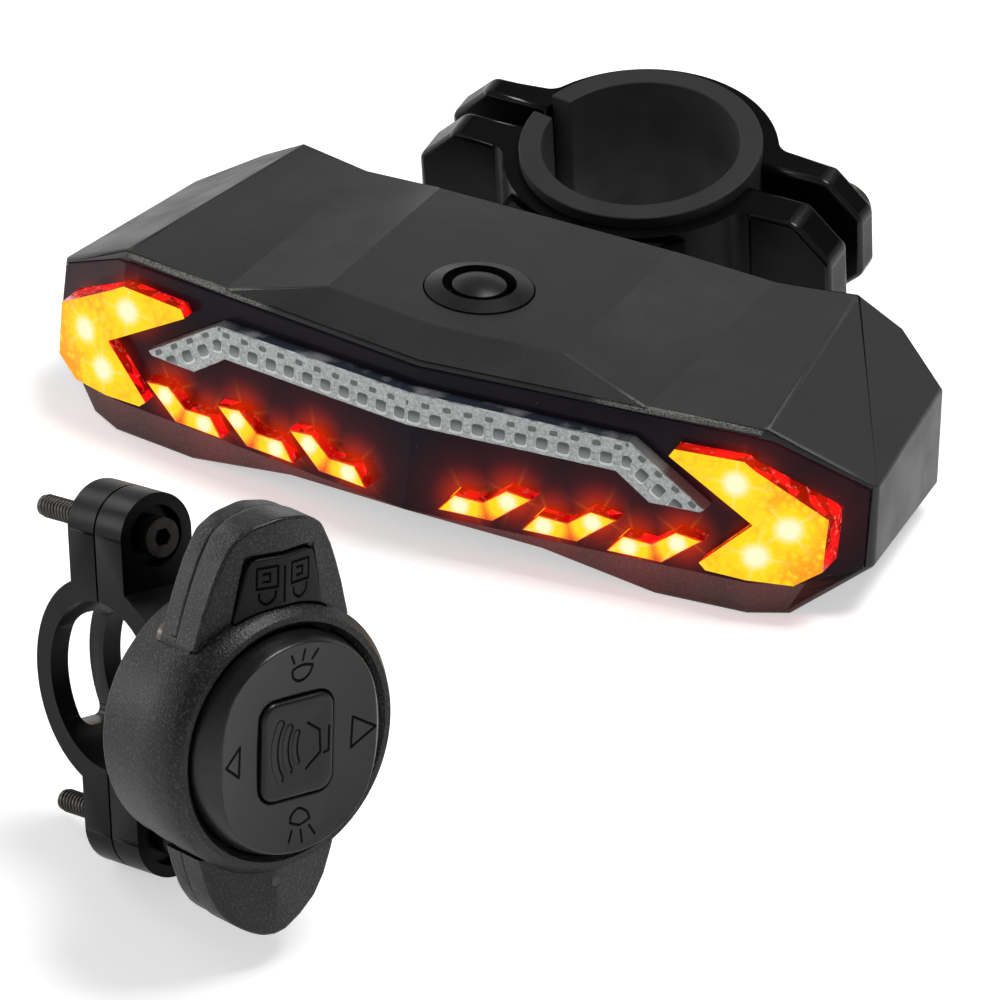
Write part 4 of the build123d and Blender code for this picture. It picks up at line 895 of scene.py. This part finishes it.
def soft_lamp(name, place, aim, width, power):
    data = bpy.data.lights.new(name, "AREA")
    data.shape = "RECTANGLE"
    data.size = width
    data.size_y = width
    data.energy = power
    lamp = bpy.data.objects.new(name, data)
    lamp.location = place
    lamp.rotation_euler = (Vector(aim) - Vector(place)).to_track_quat("-Z", "Y").to_euler()
    bpy.context.scene.collection.objects.link(lamp)


# The studio's grey from the horizon up: the share of the way to the top, and the grey there
STUDIO_GREYS = [(0.0, 0.85), (0.12, 0.85), (0.45, 0.30), (1.0, 0.20)]


def set_world():
    # White behind the object, and a pale band round the horizon that its gloss shows
    look = Finish("studio", "World")
    seen = look.node("ShaderNodeLightPath", output="Is Camera Ray")
    through = look.node("ShaderNodeLightPath", output="Is Transmission Ray")
    rise = look.axis("Z")
    stops = [(rise_share, (grey, grey, grey)) for rise_share, grey in STUDIO_GREYS]
    band = look.node("ShaderNodeValToRGB", {"stops": stops}, (rise,))
    side = look.span(look.axis("X"), -0.8, 0.8, 1.15, 0.6)
    band = look.node("ShaderNodeVectorMath", {"operation": "SCALE"}, {0: band, "Scale": side})
    colour = look.mix(seen.math("MAXIMUM", through), band, (1.0, 1.0, 1.0))
    bpy.context.scene.world = look.finish(look.node("ShaderNodeBackground", None, {"Color": colour}))


def floor():
    # Pale floor, shown white to the camera and pale to gloss, that keeps the shadows
    mesh = bpy.data.meshes.new("floor")
    work = bmesh.new()
    bmesh.ops.create_grid(work, x_segments=1, y_segments=1, size=6.0)
    work.to_mesh(mesh)
    work.free()
    piece = bpy.data.objects.new("floor", mesh)
    piece.location = (0, 0, FLOOR_Z - FLOOR_GAP)
    bpy.context.scene.collection.objects.link(piece)
    look = Finish("floor_white")
    seen = look.node("ShaderNodeLightPath", output="Is Camera Ray")
    shine = look.node("ShaderNodeLightPath", output="Is Glossy Ray")
    diffuse = look.node("ShaderNodeBsdfDiffuse", None, {"Color": (0.8, 0.8, 0.8, 1.0)})
    glow = look.node("ShaderNodeEmission", None, {"Strength": seen * 0.5 + shine * 0.4})
    both = look.node("ShaderNodeAddShader", None, (diffuse, glow))
    mesh.materials.append(look.finish(both))


UP = Vector((0, 0, 1))
LEVEL = Vector((0, 1, 0))
DIAL = REMOTE_AXES[2]

# The housing's front: the middle of its outline, the faces that belong to it, and where its ends start
FRONT_MIDDLE = Vector((0, -70, -4)) * MM
FRONT_FACING = -0.75
FRONT_EDGE_Y = -57 * MM
END_X = 64 * MM

# Widths of rounded edges and corners, in millimetres
FRONT_ROUND = 0.85
END_ROUND = 0.55
KEY_CORNER = 1.6
TAB_CORNER = 1.3
EAR_CORNER = 1.2


def housing_edge_width(edge):
    # Soft rounding on the outline of the front and at its ends, none on the sharp hollow for the plate
    faces = sorted(edge.link_faces, key=lambda face: face.normal.y)
    turn = edge_turn(edge)
    middle = edge_middle(edge)
    if turn < 8.0 or len(faces) < 2:
        return 0.0
    if faces[0].normal.y < FRONT_FACING and middle.y < FRONT_EDGE_Y:
        outward = faces[1].normal.dot(middle - FRONT_MIDDLE) > 0 and faces[1].normal.y > FRONT_FACING
        return FRONT_ROUND if outward else 0.0
    if abs(edge_direction(edge).dot(UP)) > 0.9:
        return 0.0
    return END_ROUND if turn > 12.0 and abs(middle.x) > END_X else None


def tab_corner_width(edge):
    # Round corners in the outline of the remote's two tabs, and of the key and its hollow
    if abs(edge_direction(edge).dot(DIAL)) < 0.9:
        return None
    turn = edge_turn(edge)
    spot = (edge_middle(edge) - REMOTE_ORIGIN) / MM
    x, y = abs(spot.dot(REMOTE_AXES[0])), spot.dot(REMOTE_AXES[1])
    if abs(turn) > 8.0 and x < 6.5 and 25.0 < y < 27.5:
        return KEY_CORNER
    return TAB_CORNER if turn > 8.0 and abs(y) > 21.0 else 0.0


def ear_corner_width(edge):
    # Round corners in the outline of the clamp's ears
    upright_face = abs(edge_direction(edge).dot(LEVEL)) > 0.9
    return EAR_CORNER if upright_face and edge_turn(edge) > 20.0 else None


def lens_edge_width(edge):
    # The corners of a lens's outline stay sharp
    return 0.0 if abs(edge_direction(edge).dot(LEVEL)) > 0.7 else None


# Dressed copies of the nodes that show
softened("upper_housing", 0.3, "housing_edge", "housing_shell", rule=housing_edge_width, least_turn=12.0,
         least_length=4.0, clamp=False)
softened("front_plate", 0.25, least_turn=12.0)
softened("bottom_cover", 0.5)
softened("clamp_front", 0.9, "clamp_edge", rule=ear_corner_width, least_length=1.5, clamp=False)
softened("clamp_rear", 0.9, "clamp_edge", rule=ear_corner_width, least_length=1.5, clamp=False)
softened("mount_bracket", 0.4)
softened("post_liner", 0.3, least_turn=40.0)
for node in frame["nodes"]:
    if node.startswith(("arrow_lens", "tick_lens")):
        softened(node, 0.16, "amber_edge", rule=lens_edge_width)
softened("brake_strip_lens", 0.16, "strip_edge", rule=lens_edge_width)
for node in ("remote_front_housing", "remote_rear_housing"):
    softened(node, 0.5, rule=tab_corner_width, smooth=42.0, least_turn=35.0, least_length=1.2, clamp=False)
softened("battery_can", 0.4, least_turn=35.0)
softened("lamp_key", 0.3, finish="key_plastic", rule=tab_corner_width, least_turn=35.0, clamp=False)
for node in ("bar_clamp_front", "bar_clamp_rear"):
    softened(node, 0.4, "clamp_edge", least_turn=30.0)
for node in ("button_bezel", "power_button"):
    softened(node, 0.12, finish="button_plastic", least_turn=30.0)
softened("clamp_bolts", 0.12, least_turn=30.0)
softened("bar_clamp_screws", 0.12, finish="black_steel", least_turn=30.0)
rocker_piece()
horn_piece()

# The handlebar clamp's two screws: the clamp's middle, its directions up and toward the remote, and the
# screws' sizes in millimetres
BAR_CENTRE = Vector((7.06, -175.94, 7.23)) * MM
BAR_RISE = Vector((-0.197, 0.194, 0.961))
BAR_REACH = Vector((0.890, -0.377, 0.258))
SCREW_RISE = 21.1
SHANK_RADIUS = 1.5
BARE_SHANK = 6.6
THREAD_PITCH = 0.7
for name, side, tip in (("upper", 1, 18.9), ("lower", -1, 18.2)):
    start = BAR_CENTRE + (BAR_RISE * SCREW_RISE * side - BAR_REACH * tip) * MM
    thread("screw_thread_" + name, start, BAR_REACH, SHANK_RADIUS, tip - BARE_SHANK, THREAD_PITCH,
           frame["nodes"]["bar_clamp_screws"]["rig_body"])

set_camera()
set_world()
floor()
for lamp in LAMPS:
    soft_lamp(*lamp)
scene = bpy.context.scene
scene.view_settings.view_transform = "Standard"
